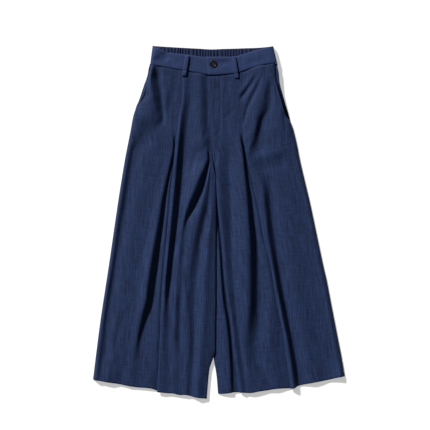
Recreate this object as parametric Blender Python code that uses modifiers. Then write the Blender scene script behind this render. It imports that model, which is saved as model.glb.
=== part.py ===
# Wide-leg trousers laid flat on a surface, front up, waist towards +Y.
#
# Sizes are in millimetres in the tables and in metres in Blender. "down" is the distance
# below the highest point of the waist, "across" the distance to the right of the middle,
# and "height" the distance of the cloth's middle layer above the surface. Left and right
# are as seen from above. The origin is below the middle of the garment.

import math
from bisect import bisect_right
from collections import namedtuple

import bmesh
import bpy
from mathutils import Vector
from mathutils.bvhtree import BVHTree

MM = 0.001

# Cloth and making
CLOTH = 1.2             # wall of one layer of suiting
SEAM_GAP = 0.3          # space between pieces that are sewn together
TURN = 1.35             # radius of a doubled-back fold, measured to the middle layer
UNDERLAY = 2.3          # height of a pleat's underlay above the surface
BACK_SEAM_GAP = 1       # extra space at the curved back waist seam
FACING_DROP = 2.5       # how far below the waist seam a pocket facing starts

# Waistband
BAND_DEPTH = 48
BAND_CLOTH = 2.0
ELASTIC_BAND = 3.0      # cloth, elastic and cloth
GATHERS = 38
GATHER_RISE = 0.9
GATHER_POINTS = 4       # points along one gather

# Trimmings
LOOP_WIDTH = 11
LOOP_CLOTH = 1.8
LOOP_EASE = 2.2         # how far a belt loop stands off the band
BUTTON_ACROSS = -15.2
BUTTON_DOWN = 50.5
BUTTON_DIAMETER = 20
BUTTON_THICKNESS = 3.2
BUTTON_RIM = 2.8
BUTTON_HOLE = 1.9
BUTTON_HOLE_PITCH = 3.6

# Detail
COLUMNS_BETWEEN = 2     # spans between two neighbouring lines of a section

# Places of the sections down a leg, as shares of its length from waist seam to hem.
SECTIONS = (0, 0.035, 0.075, 0.115, 0.155, 0.19, 0.215, 0.235, 0.255, 0.275, 0.295, 0.32,
            0.35, 0.385, 0.43, 0.48, 0.54, 0.605, 0.67, 0.74, 0.81, 0.87, 0.92, 0.96, 1)

# A line runs down a leg along a fold, a hollow or an edge. Its hem is its lower end, and
# where it has a "beside", its across values are measured from that line.
Line = namedtuple("Line", "name hem beside across height")

# A pleat's fold is a line whose cloth is doubled back under it: flat above "release",
# doubled below "open", and then as deep as the two depths say, down to the hem.
Pleat = namedtuple("Pleat", "release open depth_top depth_hem")
PLEATS = {
    "fold_b": Pleat(240, 290, 5, 9),
    "fold_c": Pleat(312, 368, 4, 12),
    "fold_d": Pleat(238, 292, 5, 10),
}

FRONT_LEFT = (
    Line("side", 919, None,
         ((54, -186), (92, -195), (117, -198), (136, -202), (158, -216), (178, -230), (197, -236),
          (230, -242), (312, -258), (436, -278), (601, -302), (766, -327), (917, -346)),
         ((54, 5.2), (92, 6), (136, 7), (158, 6.5), (178, 4.6), (197, 2.1), (917, 2.1))),
    Line("side_crest", 920, "side",
         ((54, 2), (92, 3.4), (136, 5), (178, 8), (230, 7), (917, 6.5)),
         ((54, 9.5), (92, 11.5), (136, 11.5), (178, 10.5), (230, 9.5), (285, 8.5), (395, 9),
          (532, 8), (807, 8), (917, 12))),
    Line("side_dip", 922, "side",
         ((54, 4), (92, 7), (120, 13), (147, 27), (175, 51), (202, 66), (230, 50), (260, 30),
          (290, 20), (436, 21), (532, 18.5), (752, 18), (807, 21), (917, 19)),
         ((54, 13), (80, 16.5), (147, 17), (175, 15.5), (202, 12.5), (230, 9.5), (260, 6.5),
          (290, 3.8), (436, 3.2), (849, 3.6), (884, 7), (920, 11))),
    Line("outer_face", 926, None,
         ((54, -171), (92, -166), (120, -161), (147, -158), (175, -154.5), (202, -153),
          (230, -167), (285, -192), (395, -217), (532, -245), (642, -264), (752, -280),
          (926, -305)),
         ((54, 8), (92, 3.4), (175, 3.4), (202, 5.5), (230, 8.5), (285, 9), (422, 8.5), (807, 7.5),
          (926, 12))),
    Line("middle_face", 931, None,
         ((54, -151), (147, -147), (202, -144), (230, -147), (285, -149), (312, -152),
          (354, -161), (395, -171), (436, -181), (532, -198), (587, -208), (642, -217),
          (697, -224), (752, -236), (807, -246), (931, -275)),
         ((54, 10.5), (147, 10), (230, 9), (354, 8.5), (532, 10), (697, 9.5), (931, 6))),
    Line("fold_a_crest", 937, None,
         ((54, -137), (120, -135), (189, -133), (246, -127), (257, -125.6), (285, -126.4),
          (312, -131.4), (354, -141.5), (395, -150), (436, -160), (477, -166), (532, -176),
          (587, -186), (642, -195), (697, -201), (752, -215), (807, -226), (934, -245)),
         ((54, 11), (189, 10), (252, 9.5), (312, 10), (395, 11), (436, 13.5), (532, 16.5),
          (587, 19.5), (642, 20), (697, 18), (752, 13), (807, 10.5), (868, 9), (934, 7.5))),
    Line("fold_a_foot", 940, None,
         ((54, -121), (120, -122), (189, -123.4), (246, -124), (257, -124), (285, -123.6),
          (312, -127.3), (354, -135.5), (395, -144.5), (436, -148), (477, -152.5), (532, -161),
          (587, -168), (642, -176), (697, -185), (752, -200), (807, -214), (937, -225)),
         ((54, 10), (189, 9), (246, 8.6), (263, 5.4), (285, 3.8), (312, 3.4), (752, 3), (821, 4),
          (876, 6), (937, 6))),
    Line("strip", 943.5, None,
         ((54, -110), (120, -112), (189, -117.8), (246, -121.5), (257, -121.8), (271, -121.9),
          (285, -121.7), (312, -125), (354, -131), (395, -137), (436, -141), (477, -145),
          (532, -149.5), (587, -155), (642, -160), (697, -164), (807, -169), (862, -174),
          (945, -187)),
         ((54, 10), (246, 8.6), (271, 5), (312, 4), (395, 5.5), (532, 6.5), (697, 7), (862, 6.8),
          (945, 6.4))),
    Line("fold_b", 953, None,
         ((84, -99), (147, -102), (189, -109), (271, -119), (354, -127), (400, -133), (436, -136),
          (513, -142), (615, -152), (697, -158), (813, -162), (953, -169)),
         ((54, 10.5), (189, 10), (252, 9), (312, 8.5), (532, 8.6), (780, 8.6), (953, 7.8))),
    Line("fold_b_crest", 954, None,
         ((84, -94), (147, -97), (189, -104), (271, -113), (354, -120), (400, -125), (436, -128),
          (513, -135), (615, -144), (697, -150), (813, -154), (953, -158)),
         ((54, 11), (147, 12.5), (252, 15), (312, 17), (532, 17.5), (697, 14), (807, 11),
          (953, 10))),
    Line("fold_b_foot", 956, None,
         ((84, -78), (147, -80), (189, -86), (230, -90), (285, -97), (354, -101), (395, -104),
          (436, -107.5), (477, -113), (532, -121), (587, -131), (642, -137), (697, -138),
          (807, -137), (956, -140)),
         ((54, 10), (120, 9), (175, 6.5), (230, 4.2), (285, 3.2), (395, 3), (532, 3),
          (642, 3.4), (714, 6.5), (807, 7.5), (956, 8))),
    Line("centre_crest", 957, None,
         ((84, -50), (189, -50), (271, -44), (299, -33), (312, -31.4), (326, -37), (340, -43),
          (367, -56), (395, -68), (422, -79), (450, -88), (477, -96), (532, -107), (697, -117),
          (956, -124)),
         ((54, 10), (120, 12), (189, 12.5), (271, 12.5), (312, 12.5), (340, 16.5), (367, 19),
          (422, 19), (450, 17), (477, 14), (532, 11), (697, 10.5), (959, 8.5))),
    Line("crescent_foot", 961, None,
         ((84, -31.5), (202, -31), (257, -28.5), (299, -26.2), (312, -26.4), (326, -28.6),
          (354, -34.5), (395, -44), (422, -57), (450, -72), (477, -86), (532, -95), (697, -104),
          (959, -108)),
         ((54, 8), (92, 5.5), (202, 5.5), (257, 7), (290, 6.6), (302, 4.8), (326, 3), (436, 3),
          (458, 6), (491, 9.5), (532, 10), (697, 8.5), (961, 7.5))),
    Line("crescent_crest", 960.5, None,
         ((84, -27), (202, -27), (271, -25.6), (304, -24), (326, -24.4), (354, -28), (395, -36.5),
          (422, -44), (450, -51), (477, -57), (532, -68), (587, -78), (642, -88), (697, -90),
          (807, -83), (961, -93)),
         ((54, 7), (92, 5.8), (202, 5.8), (271, 6.3), (312, 7), (354, 13), (395, 16),
          (436, 16), (477, 14), (587, 12), (697, 11), (961, 9.5))),
    Line("inner_foot", 964, None,
         ((84, -22), (202, -22), (271, -23.3), (304, -22.4), (329, -22.2), (354, -23.5), (395, -25),
          (436, -28), (477, -36), (532, -48), (587, -55), (642, -61), (697, -66), (807, -67),
          (961, -77)),
         ((54, 6), (271, 5.6), (304, 6.3), (354, 11), (395, 12), (436, 9.5), (477, 5.8),
          (532, 4.8), (697, 4.8), (835, 5.5), (961, 7))),
    Line("inner_crest", 968, None,
         ((84, -18.5), (202, -18), (271, -20.8), (304, -21.4), (329, -20.4), (354, -19.5),
          (395, -20), (436, -20.5), (477, -22), (532, -30), (587, -35), (642, -39), (697, -41),
          (752, -45), (807, -49), (961, -60)),
         ((54, 5.6), (271, 5.1), (304, 6.1), (354, 11), (395, 12.5), (477, 15), (587, 16.5),
          (807, 15), (964, 12))),
    Line("inner_face", 970, None,
         ((84, -15), (202, -14), (271, -18), (304, -20), (329, -18.6), (354, -16), (395, -14.5),
          (477, -15.5), (587, -21), (697, -24), (807, -28), (865, -37), (964, -45)),
         ((54, 5.2), (271, 4.8), (304, 5.8), (354, 10.5), (477, 13.5), (807, 12.5), (964, 9))),
    Line("inner_edge", 971, None,
         ((84, -12), (244, -10), (274, -15.4), (290, -16.6), (304, -18), (312, -17.2), (329, -15.8),
          (367, -9), (477, -8), (840, -10), (865, -18), (890, -26), (964, -33)),
         ((54, 4.8), (257, 4.6), (290, 4.6), (307, 5.4), (340, 9.4), (422, 10), (835, 9),
          (865, 6.5), (964, 6))),
    Line("inner_return", 970, None,
         ((84, -9), (244, -7), (274, -13), (290, -15.4), (304, -20.4), (316, -22.4), (329, -23.6),
          (354, -24), (840, -24), (865, -25), (890, -30), (964, -36)),
         ((54, 4.7), (257, 4.5), (290, 3.6), (307, 2.4), (340, 2.2), (964, 2.2))),
)

FRONT_RIGHT = (
    Line("inner_edge", 958, None,
         ((81, -28), (153, -24), (255, -21), (285, -18.8), (298, -17.2), (308, -15.8), (329, -15.8),
          (840, -16), (860, -14), (909, -6), (956, -2)),
         ((54, 9), (255, 8.5), (285, 7.9), (298, 6.6), (308, 4.6), (329, 2.6), (956, 2.2))),
    Line("under_face", 958, None,
         ((81, -20), (255, -15), (300, -14), (329, -14.7), (395, -12.4), (532, -10),
          (697, -8), (807, -6), (909, 4), (956, 10)),
         ((54, 9.3), (255, 9), (285, 8), (312, 5.5), (340, 4), (532, 5.5), (956, 6))),
    Line("under_crest", 955, None,
         ((81, -11), (255, -9), (300, -12.2), (329, -13.6), (395, -10.5), (477, -5), (560, 1),
          (629, 5), (697, 10.5), (752, 19), (807, 25.5), (862, 29), (956, 33)),
         ((54, 9.4), (255, 9.2), (290, 8.5), (329, 5), (367, 4.4), (477, 5.4), (560, 7.8),
          (629, 9.6), (697, 11), (862, 11.6), (904, 11.6), (956, 9.6))),
    Line("under_foot", 954, None,
         ((81, -4), (255, -6), (300, -10.4), (329, -12.4), (395, -8.7), (477, -3), (560, 4.6),
          (629, 9.4), (697, 15.6), (752, 24), (807, 30.5), (862, 34.5), (956, 41)),
         ((54, 9.4), (255, 9.2), (290, 8), (312, 5.5), (340, 3.2), (477, 3.4), (600, 4.3),
          (956, 4.3))),
    Line("fold_c", 954, None,
         ((81, 4), (255, 0), (300, -5), (329, -8), (384, -7), (453, -2), (532, 7.2), (645, 16),
          (743, 30), (868, 44), (961, 58.4)),
         ((54, 9.5), (285, 8.8), (329, 7.5), (395, 7.5), (697, 8), (961, 6.5))),
    Line("fold_c_crest", 954, None,
         ((81, 12), (255, 7), (300, 1), (329, -3), (384, -2), (453, 3), (532, 12), (645, 21),
          (743, 35), (868, 50), (961, 64)),
         ((54, 9.8), (285, 9.8), (329, 11), (395, 13.5), (477, 14.5), (587, 13.5), (697, 13.5),
          (961, 11))),
    Line("soft_foot", 955, None,
         ((81, 22), (257, 26), (312, 29), (395, 32), (477, 34), (587, 37), (697, 44.5), (807, 57),
          (945, 74)),
         ((54, 9.8), (257, 9.5), (312, 7.5), (395, 5.8), (477, 6), (587, 8), (697, 8.5),
          (959, 8.5))),
    Line("plateau_left", 955, None,
         ((81, 39), (312, 41), (395, 44), (587, 49), (697, 57), (807, 67), (945, 90)),
         ((54, 10), (257, 10.5), (340, 11), (436, 12), (587, 14), (697, 14.5), (807, 13.5),
          (956, 9.5))),
    Line("plateau_right", 951, None,
         ((81, 49), (216, 50), (246, 56), (257, 58.4), (271, 61), (285, 63.4), (312, 66.4),
          (354, 70), (395, 74), (422, 76), (477, 79), (532, 81.5), (697, 82), (780, 78), (862, 90),
          (945, 112)),
         ((54, 10.2), (230, 10.5), (271, 13), (354, 17), (477, 20.8), (532, 22.2), (697, 21.4),
          (752, 19.4), (807, 13.5), (862, 9.8), (950, 9))),
    Line("inner_foot", 948, None,
         ((81, 58), (216, 57), (246, 60), (257, 61), (271, 64.6), (285, 66.8), (312, 70.2),
          (354, 76.5), (395, 84), (436, 89.5), (477, 94), (532, 102.5), (587, 106), (697, 107.5),
          (752, 107), (807, 106), (945, 135)),
         ((54, 10.2), (242, 9.8), (257, 8), (271, 4.8), (312, 3.2), (697, 3), (780, 3.6),
          (835, 6.5), (948, 7))),
    Line("strip", 944, None,
         ((81, 66), (216, 61.6), (246, 62.3), (257, 63.2), (271, 66.4), (285, 69.2), (312, 73.6),
          (354, 80.5), (395, 90), (436, 100), (477, 108), (532, 119), (587, 131), (642, 140),
          (697, 145), (752, 144), (807, 138), (862, 142), (945, 158)),
         ((54, 10), (242, 9.6), (257, 7.6), (271, 5.5), (422, 6), (532, 6.5), (697, 8), (821, 9.6),
          (945, 9.4))),
    Line("fold_d", 943, None,
         ((81, 74), (147, 71), (216, 67), (246, 67.3), (257, 68), (268, 70.3), (279, 72.4),
          (290, 74.2), (312, 78.4), (345, 84.6), (384, 93.4), (425, 104), (556, 129),
          (603, 142), (700, 158.5), (799, 178), (937, 197)),
         ((54, 10.2), (230, 10), (285, 9), (532, 9), (942, 8))),
    Line("fold_d_crest", 942, None,
         ((54, 112), (92, 122), (120, 124), (136, 121), (153, 115), (175, 109), (202, 103),
          (219, 101), (241, 96), (263, 91), (285, 84), (312, 87), (354, 105), (395, 119),
          (436, 124), (477, 128), (532, 134), (587, 145), (642, 154), (697, 164), (752, 175),
          (807, 186), (862, 195), (937, 206)),
         ((54, 18), (92, 18.5), (147, 17.5), (202, 16), (257, 15), (285, 13.5), (312, 11.5),
          (354, 12.5), (395, 16), (477, 18), (587, 18.5), (697, 19.5), (862, 19.5), (942, 16))),
    Line("fold_d_foot", 936, None,
         ((54, 123), (92, 140), (120, 143), (147, 143.5), (175, 137), (202, 121), (219, 116),
          (241, 112.5), (263, 110), (285, 108), (312, 112), (354, 127), (395, 139), (436, 142),
          (477, 147), (532, 153), (587, 161), (642, 170), (697, 180), (752, 190), (807, 202),
          (862, 212), (928, 220)),
         ((54, 17), (92, 17), (120, 13.5), (147, 11), (175, 8.5), (202, 6.5), (230, 5.5),
          (285, 5.5), (307, 7.5), (345, 8), (381, 5), (436, 3.8), (697, 3.2), (937, 3.4))),
    Line("outer_rise", 927, None,
         ((54, 128.5), (92, 145), (120, 151.5), (147, 154), (175, 154), (202, 152), (230, 146),
          (285, 142), (340, 152), (395, 163), (532, 183), (697, 211), (807, 235), (928, 261)),
         ((54, 17), (120, 17), (147, 16), (175, 14.5), (202, 12.5), (230, 11), (285, 10),
          (340, 9), (436, 8.3), (532, 9), (697, 10.5), (807, 11.5), (928, 9.5))),
    Line("outer_face", 919, None,
         ((54, 132), (92, 147.4), (120, 154.4), (147, 160), (194, 166), (230, 171), (285, 179),
          (395, 198), (532, 226), (697, 256), (807, 278), (920, 303)),
         ((54, 16.6), (147, 16.5), (216, 14), (285, 10), (422, 8.3), (532, 7.5), (697, 6.5),
          (920, 6))),
    Line("side_dip", 913, "side",
         ((54, -3.2), (92, -3.4), (120, -4.4), (147, -6.8), (194, -10.4), (230, -18), (532, -20),
          (912, -21)),
         ((54, 17), (175, 16.5), (216, 13), (285, 9), (422, 7.5), (697, 6.5), (821, 7),
          (912, 11))),
    Line("side_crest", 911, "side",
         ((54, -1.6), (92, -1.7), (120, -2.2), (147, -3.4), (194, -4.1), (230, -6.5), (436, -8),
          (532, -10), (912, -11)),
         ((54, 17.2), (175, 16.7), (202, 12.5), (244, 9), (312, 8), (697, 8), (821, 8.5),
          (912, 13))),
    Line("side", 910, None,
         ((54, 137), (94, 153.5), (147, 169.5), (194, 184.5), (205, 193), (216, 200), (271, 215),
          (312, 223), (436, 252), (560, 278.2), (615, 290), (642, 296.4), (697, 307),
          (807, 328.3), (862, 339), (909, 347)),
         ((54, 17.2), (92, 18), (161, 17), (180, 15), (197, 8), (216, 3), (271, 2.1), (909, 2.1))),
)

# The backs lie flat on the surface, a little inside the fronts' edges.
BACK_LEFT = (
    Line("side", 915, None,
         ((48, -189.5), (60, -193), (79, -196), (92, -200), (106, -205.4), (134, -214.5),
          (153, -221), (169, -228.5), (178, -231), (197, -235),
          (312, -257), (436, -277), (601, -301), (766, -326), (915, -344)), ((0, 0.6),)),
    Line("outer_middle", 932, None, ((58, -130), (312, -175), (932, -245)), ((0, 0.6),)),
    Line("inner_middle", 948, None, ((58, -75), (312, -95), (948, -140)), ((0, 0.6),)),
    Line("inside", 961, None,
         ((58, -19.2), (230, -19.2), (270, -24.5), (330, -25), (360, -22), (840, -22), (865, -25),
          (890, -30), (961, -36)),
         ((0, 0.6),)),
)
BACK_RIGHT = (
    Line("inside", 953, None,
         ((58, -18.7), (230, -18.7), (270, -24), (330, -24.4), (360, -18), (850, -15), (865, -12),
          (909, -4), (953, 1)),
         ((0, 0.6),)),
    Line("inner_middle", 951, None, ((58, 30), (312, 50), (951, 75)), ((0, 0.6),)),
    Line("outer_middle", 938, None, ((58, 85), (312, 130), (938, 200)), ((0, 0.6),)),
    Line("side", 908, None,
         ((48, 156), (79, 163), (106, 167), (134, 176), (161, 184), (186, 192), (205, 197),
          (216, 199.5), (271, 214), (312, 222), (436, 251), (560, 277), (684, 301), (807, 325),
          (908, 345)),
         ((0, 0.6),)),
)

# The facing behind each slanted pocket, from the side seam to under the front's edge.
FACING_LEFT = (
    Line("side", 176, None,
         ((60, -187.5), (79, -193), (106, -202), (134, -212), (161, -222), (176, -227)),
         ((0, 2.1),)),
    Line("middle", 178, None,
         ((60, -184), (92, -193), (117, -201), (134, -208.5), (158, -218), (178, -226)),
         ((60, 3.3), (92, 4.1), (117, 6), (140, 6), (161, 4), (176, 2.4))),
    Line("inside", 180, None,
         ((60, -176), (92, -186), (117, -193), (136, -198), (158, -212), (180, -222)),
         ((0, 2.1),)),
)
FACING_RIGHT = (
    Line("inside", 180, None,
         ((60, 126), (94, 143), (147, 158), (180, 168)), ((60, 12), (100, 11), (140, 6),
                                                          (180, 3.6))),
    Line("middle", 180, None,
         ((60, 139), (94, 152), (147, 167), (180, 176)), ((60, 15), (94, 14.6), (134, 8),
                                                          (180, 3.4))),
    Line("top", 180, None,
         ((60, 151.5), (79, 153.5), (94, 156), (106, 160.5), (134, 169.5), (161, 177.5),
          (180, 182.6)),
         ((60, 15), (94, 14.4), (134, 8), (180, 3.2))),
    Line("ditch", 180, None,
         ((60, 156), (79, 157.4), (94, 159.5), (106, 163.4), (134, 172), (161, 179), (180, 183.4)),
         ((60, 10.5), (94, 10.5), (134, 6), (180, 2.9))),
    Line("rim", 180, None,
         ((60, 160.5), (70, 163), (79, 164.4), (94, 165.6), (106, 167.6), (134, 175.5),
          (161, 183.2), (180, 188)),
         ((60, 12.5), (94, 12), (134, 6), (161, 4.4), (180, 3.9))),
    Line("side", 180, None,
         ((60, 159), (79, 163), (94, 164.4), (106, 166.4), (134, 174.6), (161, 182.6),
          (180, 187.6)),
         ((0, 2.1),)),
)

# The waist seam, and the top edges of the front and back bands: across, down.
FRONT_SEAM = ((-188, 51), (-149, 59), (-102, 67), (-36, 79), (-27, 81), (45, 76), (60, 72),
              (113, 55), (158, 48))
BACK_TOP = ((-179, 0), (-142, 2.5), (-107, 4.6), (-52, 7.6), (-19, 9.4), (10, 8.2), (40, 7.4),
            (85, 5.8), (105, 5.2), (150, 1))

FRONT_TOP = ((-180, 0), (-140, 19), (-86, 25), (-39, 31), (41, 31), (54, 28), (105, 13),
             (146, 3), (150, 2))

# How far the upper edge of the front band stands to the right of its lower edge.
BAND_LEAN = ((-188, 6.8), (-90, 7), (-30, -4.5), (50, -7), (130, -8), (159, -11))

# The front band's middle layer, along its lower edge: across, height.
BAND_LEFT = ((-188, 3.5), (-187.6, 7), (-183, 9.4), (-172, 10), (-140, 10), (-100, 9.8),
             (-60, 9.6), (-38, 9.2), (-20, 8.8), (8, 8.8))
BAND_RIGHT = ((-29.5, 11.9), (-10, 11.9), (10, 11.7), (30, 11), (50, 10.6), (80, 12.6),
              (110, 15.2), (135, 16.8), (150, 16.8), (156.5, 15.8), (159.2, 12), (159.6, 3.5))

# The belt loops' middles: name, across at the top edge and at the lower end.
LOOPS = (("belt_loop_left", -86.5, -95.5), ("belt_loop_right", 41, 50))
LOOP_TOP = (28, 31)     # down, at the band's upper edge
LOOP_END = (84, 90)     # down, just below the waist seam


def clear_scene():
    """Start from an empty scene."""
    for thing in list(bpy.data.objects):
        bpy.data.objects.remove(thing, do_unlink=True)
    for group in list(bpy.data.collections):
        bpy.data.collections.remove(group)


def along(table, at):
    """Read a two-column table at any key, on a smooth curve that never overshoots."""
    keys = [row[0] for row in table]
    values = [row[1] for row in table]
    if at <= keys[0]:
        return values[0]
    if at >= keys[-1]:
        return values[-1]
    spans = [b - a for a, b in zip(keys, keys[1:])]
    rises = [(b - a) / span for a, b, span in zip(values, values[1:], spans)]
    slopes = [rises[0]]
    for before, after in zip(rises, rises[1:]):
        same_way = before * after > 0
        slopes.append(2 * before * after / (before + after) if same_way else 0)
    slopes.append(rises[-1])
    here = bisect_right(keys, at) - 1
    span = spans[here]
    t = (at - keys[here]) / span
    start = (1 + 2 * t) * (1 - t) ** 2 * values[here] + t * (1 - t) ** 2 * span * slopes[here]
    end = t * t * (3 - 2 * t) * values[here + 1] - t * t * (1 - t) * span * slopes[here + 1]
    return start + end


def blend(a, b, share):
    """A value between a and b."""
    return a + (b - a) * share


def ease(share):
    """A share from 0 to 1, slow at both ends."""
    share = min(max(share, 0), 1)
    return share * share * (3 - 2 * share)


def pleat_points(pleat, down, edge, height):
    """Six points around a pleat's fold: underlay, turn, return, and the fold's own lip."""
    reach = pleat.open - pleat.release
    lifted = ease((down - pleat.release) / (0.45 * reach))
    opened = ease((down - pleat.release - 0.4 * reach) / (0.6 * reach))
    far = ease((down - pleat.open) / 500)
    turn = edge + blend(pleat.depth_top, pleat.depth_hem, far)
    flat = [(edge - 3 + 0.6 * step, height) for step in range(6)]
    doubled = [
        (turn - TURN, UNDERLAY),
        (turn, UNDERLAY + TURN),
        (turn - TURN, UNDERLAY + 2 * TURN),
        (edge + 0.9, height - TURN),
        (edge, height),
        (edge + 1.1, height + 1.8),
    ]
    return [Vector((blend(a[0], b[0], opened), down, blend(a[1], b[1], lifted)))
            for a, b in zip(flat, doubled)]


def across_of(lines, line, down):
    """Where a line lies across the garment, at a distance down."""
    beside = next((other for other in lines if other.name == line.beside), None)
    return along(line.across, down) + (across_of(lines, beside, down) if beside else 0)


def section_points(lines, top_edge, share):
    """The points where a section crosses the lines, and the spans from each to the next."""
    points = []
    spans = []
    for line in lines:
        top = along(top_edge, across_of(lines, line, 0)) + SEAM_GAP
        down = blend(top, line.hem, share)
        across = across_of(lines, line, down)
        height = along(line.height, down)
        if line.name in PLEATS:
            points += pleat_points(PLEATS[line.name], down, across, height)
            spans += [1, 1, 1, 1, 1, COLUMNS_BETWEEN]
        else:
            points.append(Vector((across, down, height)))
            spans.append(COLUMNS_BETWEEN)
    return points, spans[:-1]


def curve_through(points, spans):
    """Points along a smooth curve through the given ones (centripetal Catmull-Rom)."""
    path = [points[0] * 2 - points[1]] + points + [points[-1] * 2 - points[-2]]
    curve = []
    for first, count in enumerate(spans):
        before, start, end, after = path[first:first + 4]
        spread = [max((b - a).length, 0.01) ** 0.5
                  for a, b in ((before, start), (start, end), (end, after))]
        leave = ((start - before) / spread[0] - (end - before) / (spread[0] + spread[1])
                 + (end - start) / spread[1]) * spread[1]
        arrive = ((end - start) / spread[1] - (after - start) / (spread[1] + spread[2])
                  + (after - end) / spread[2]) * spread[1]
        for step in range(count):
            t = step / count
            curve.append(start * (2 * t ** 3 - 3 * t ** 2 + 1) + leave * (t ** 3 - 2 * t ** 2 + t)
                         + end * (3 * t ** 2 - 2 * t ** 3) + arrive * (t ** 3 - t ** 2))
    curve.append(points[-1])
    return curve


def cloth_colour(name, colour, roughness, metallic=0.0):
    """A plain material in a sub-part's own colour."""
    material = bpy.data.materials.new(name)
    material.use_nodes = True
    shader = material.node_tree.nodes["Principled BSDF"]
    shader.inputs["Base Color"].default_value = (*colour, 1)
    shader.inputs["Roughness"].default_value = roughness
    shader.inputs["Metallic"].default_value = metallic
    return material


def place(point):
    """A point of the tables in Blender's metres."""
    across, down, height = point
    return Vector((across * MM, -down * MM, height * MM))


def add_part(name, mesh, colour, roughness):
    """Put a mesh in the garment's collection, with its own material."""
    part = bpy.data.objects.new(name, mesh)
    mesh.materials.append(cloth_colour(name, colour, roughness))
    mesh.shade_smooth()
    GARMENT.objects.link(part)
    part.parent = ANCHOR
    return part


def grid_mesh(name, rows):
    """A sheet of quads whose rows run from the waist down and whose points run across."""
    across = len(rows[0])
    mesh = bpy.data.meshes.new(name)
    sheet = bmesh.new()
    bmesh.ops.create_grid(sheet, x_segments=across - 1, y_segments=len(rows) - 1, size=1)
    for vertex in sheet.verts:
        column = round((vertex.co.x + 1) / 2 * (across - 1))
        row = round((1 - vertex.co.y) / 2 * (len(rows) - 1))
        vertex.co = place(rows[row][column])
    sheet.to_mesh(mesh)
    sheet.free()
    return mesh


def cloth_sheet(name, rows, thickness, colour, roughness=0.8):
    """A sheet of cloth given its wall by Solidify, half to each side of the rows."""
    part = add_part(name, grid_mesh(name, rows), colour, roughness)
    wall = part.modifiers.new("Wall", "SOLIDIFY")
    wall.thickness = thickness * MM
    wall.offset = 0
    return part


def panel_rows(lines, top_edge, shares):
    """The sections of a panel, from its top edge to its hem."""
    rows = [curve_through(*section_points(lines, top_edge, share)) for share in shares]
    for point in rows[0]:
        point.y = along(top_edge, point.x) + SEAM_GAP
    return rows


def even_shares(count):
    """Shares from 0 to 1 in equal steps."""
    return [step / count for step in range(count + 1)]


def top_of(parts, across, down):
    """Height of the highest cloth at a place, found by looking straight down."""
    place_above = place((across, down, 200))
    hits = [tree.ray_cast(place_above, Vector((0, 0, -1)))[0] for tree in parts]
    return max(hit.z for hit in hits if hit) / MM


def looked_at(*parts):
    """The evaluated surfaces of some parts, for top_of."""
    bpy.context.view_layer.update()
    seen = bpy.context.evaluated_depsgraph_get()
    return [BVHTree.FromObject(part, seen) for part in parts]


def make_fronts():
    """The two front leg panels, with their pleats, from the waist seam to the hem."""
    left = cloth_sheet("front_panel_left", panel_rows(FRONT_LEFT, FRONT_SEAM, SECTIONS),
                       CLOTH, NAVY)
    right = cloth_sheet("front_panel_right", panel_rows(FRONT_RIGHT, FRONT_SEAM, SECTIONS),
                        CLOTH, NAVY_SHADE)
    return left, right


def make_backs():
    """The two back leg panels, flat on the surface."""
    back_seam = [(across, down + BAND_DEPTH + BACK_SEAM_GAP) for across, down in BACK_TOP]
    for name, lines in (("back_panel_left", BACK_LEFT), ("back_panel_right", BACK_RIGHT)):
        rows = [section_points(lines, back_seam, share)[0] for share in SECTIONS]
        cloth_sheet(name, rows, CLOTH, NAVY)


def make_pocket_facings():
    """The strip of cloth that shows behind each slanted pocket."""
    top_edge = [(across, down + FACING_DROP) for across, down in FRONT_SEAM]
    for name, lines in (("pocket_facing_left", FACING_LEFT),
                        ("pocket_facing_right", FACING_RIGHT)):
        rows = [section_points(lines, top_edge, share)[0] for share in even_shares(7)]
        cloth_sheet(name, rows, CLOTH, NAVY_SHADE)


def make_back_band():
    """The elastic back band: gathered on its inside, flat where it rests."""
    columns = GATHERS * GATHER_POINTS
    first = BACK_TOP[0][0]
    width = BACK_TOP[-1][0] - first
    rows = []
    for level in even_shares(2):
        row = []
        for share in even_shares(columns):
            spread = 1 + 0.045 * level * abs(2 * share - 1) ** 4
            across = (first + width * share) * spread
            down = along(BACK_TOP, across) + BAND_DEPTH * level
            fullness = ease(min(share, 1 - share) / 0.16) * (1 - 0.25 * abs(2 * level - 1))
            turn = 2 * math.pi * (GATHERS * share + 0.35 * math.sin(9 * math.pi * share))
            rise = GATHER_RISE * fullness * math.sin(turn)
            row.append(Vector((across, down, ELASTIC_BAND + 0.4 * fullness + rise)))
        rows.append(row)
    part = add_part("back_waistband", grid_mesh("back_waistband", rows), NAVY_SHADE, 0.8)
    body = bmesh.new()
    body.from_mesh(part.data)
    raised = bmesh.ops.extrude_face_region(body, geom=body.faces[:])
    lower = [item for item in raised["geom"] if isinstance(item, bmesh.types.BMVert)]
    for vertex in lower:
        vertex.co.z = 0
    bmesh.ops.recalc_face_normals(body, faces=body.faces[:])
    body.to_mesh(part.data)
    body.free()
    part.data.shade_smooth()
    return part


def band_rows(path, count):
    """A front band's rows, from its upper edge to the waist seam."""
    lower = curve_through([Vector((x, along(FRONT_SEAM, x), z)) for x, z in path],
                          [count] * (len(path) - 1))
    upper = []
    for point in lower:
        across = point.x + along(BAND_LEAN, point.x)
        upper.append(Vector((across, along(FRONT_TOP, across), point.z)))
    return [[a.lerp(b, share) for a, b in zip(upper, lower)] for share in even_shares(3)]


def make_front_bands():
    """The front band in two halves; the right half ends in the tab with the buttonhole."""
    left = cloth_sheet("front_waistband_left", band_rows(BAND_LEFT, 2), BAND_CLOTH, NAVY)
    right = cloth_sheet("front_waistband_right", band_rows(BAND_RIGHT, 2), BAND_CLOTH, NAVY)
    return left, right


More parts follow.
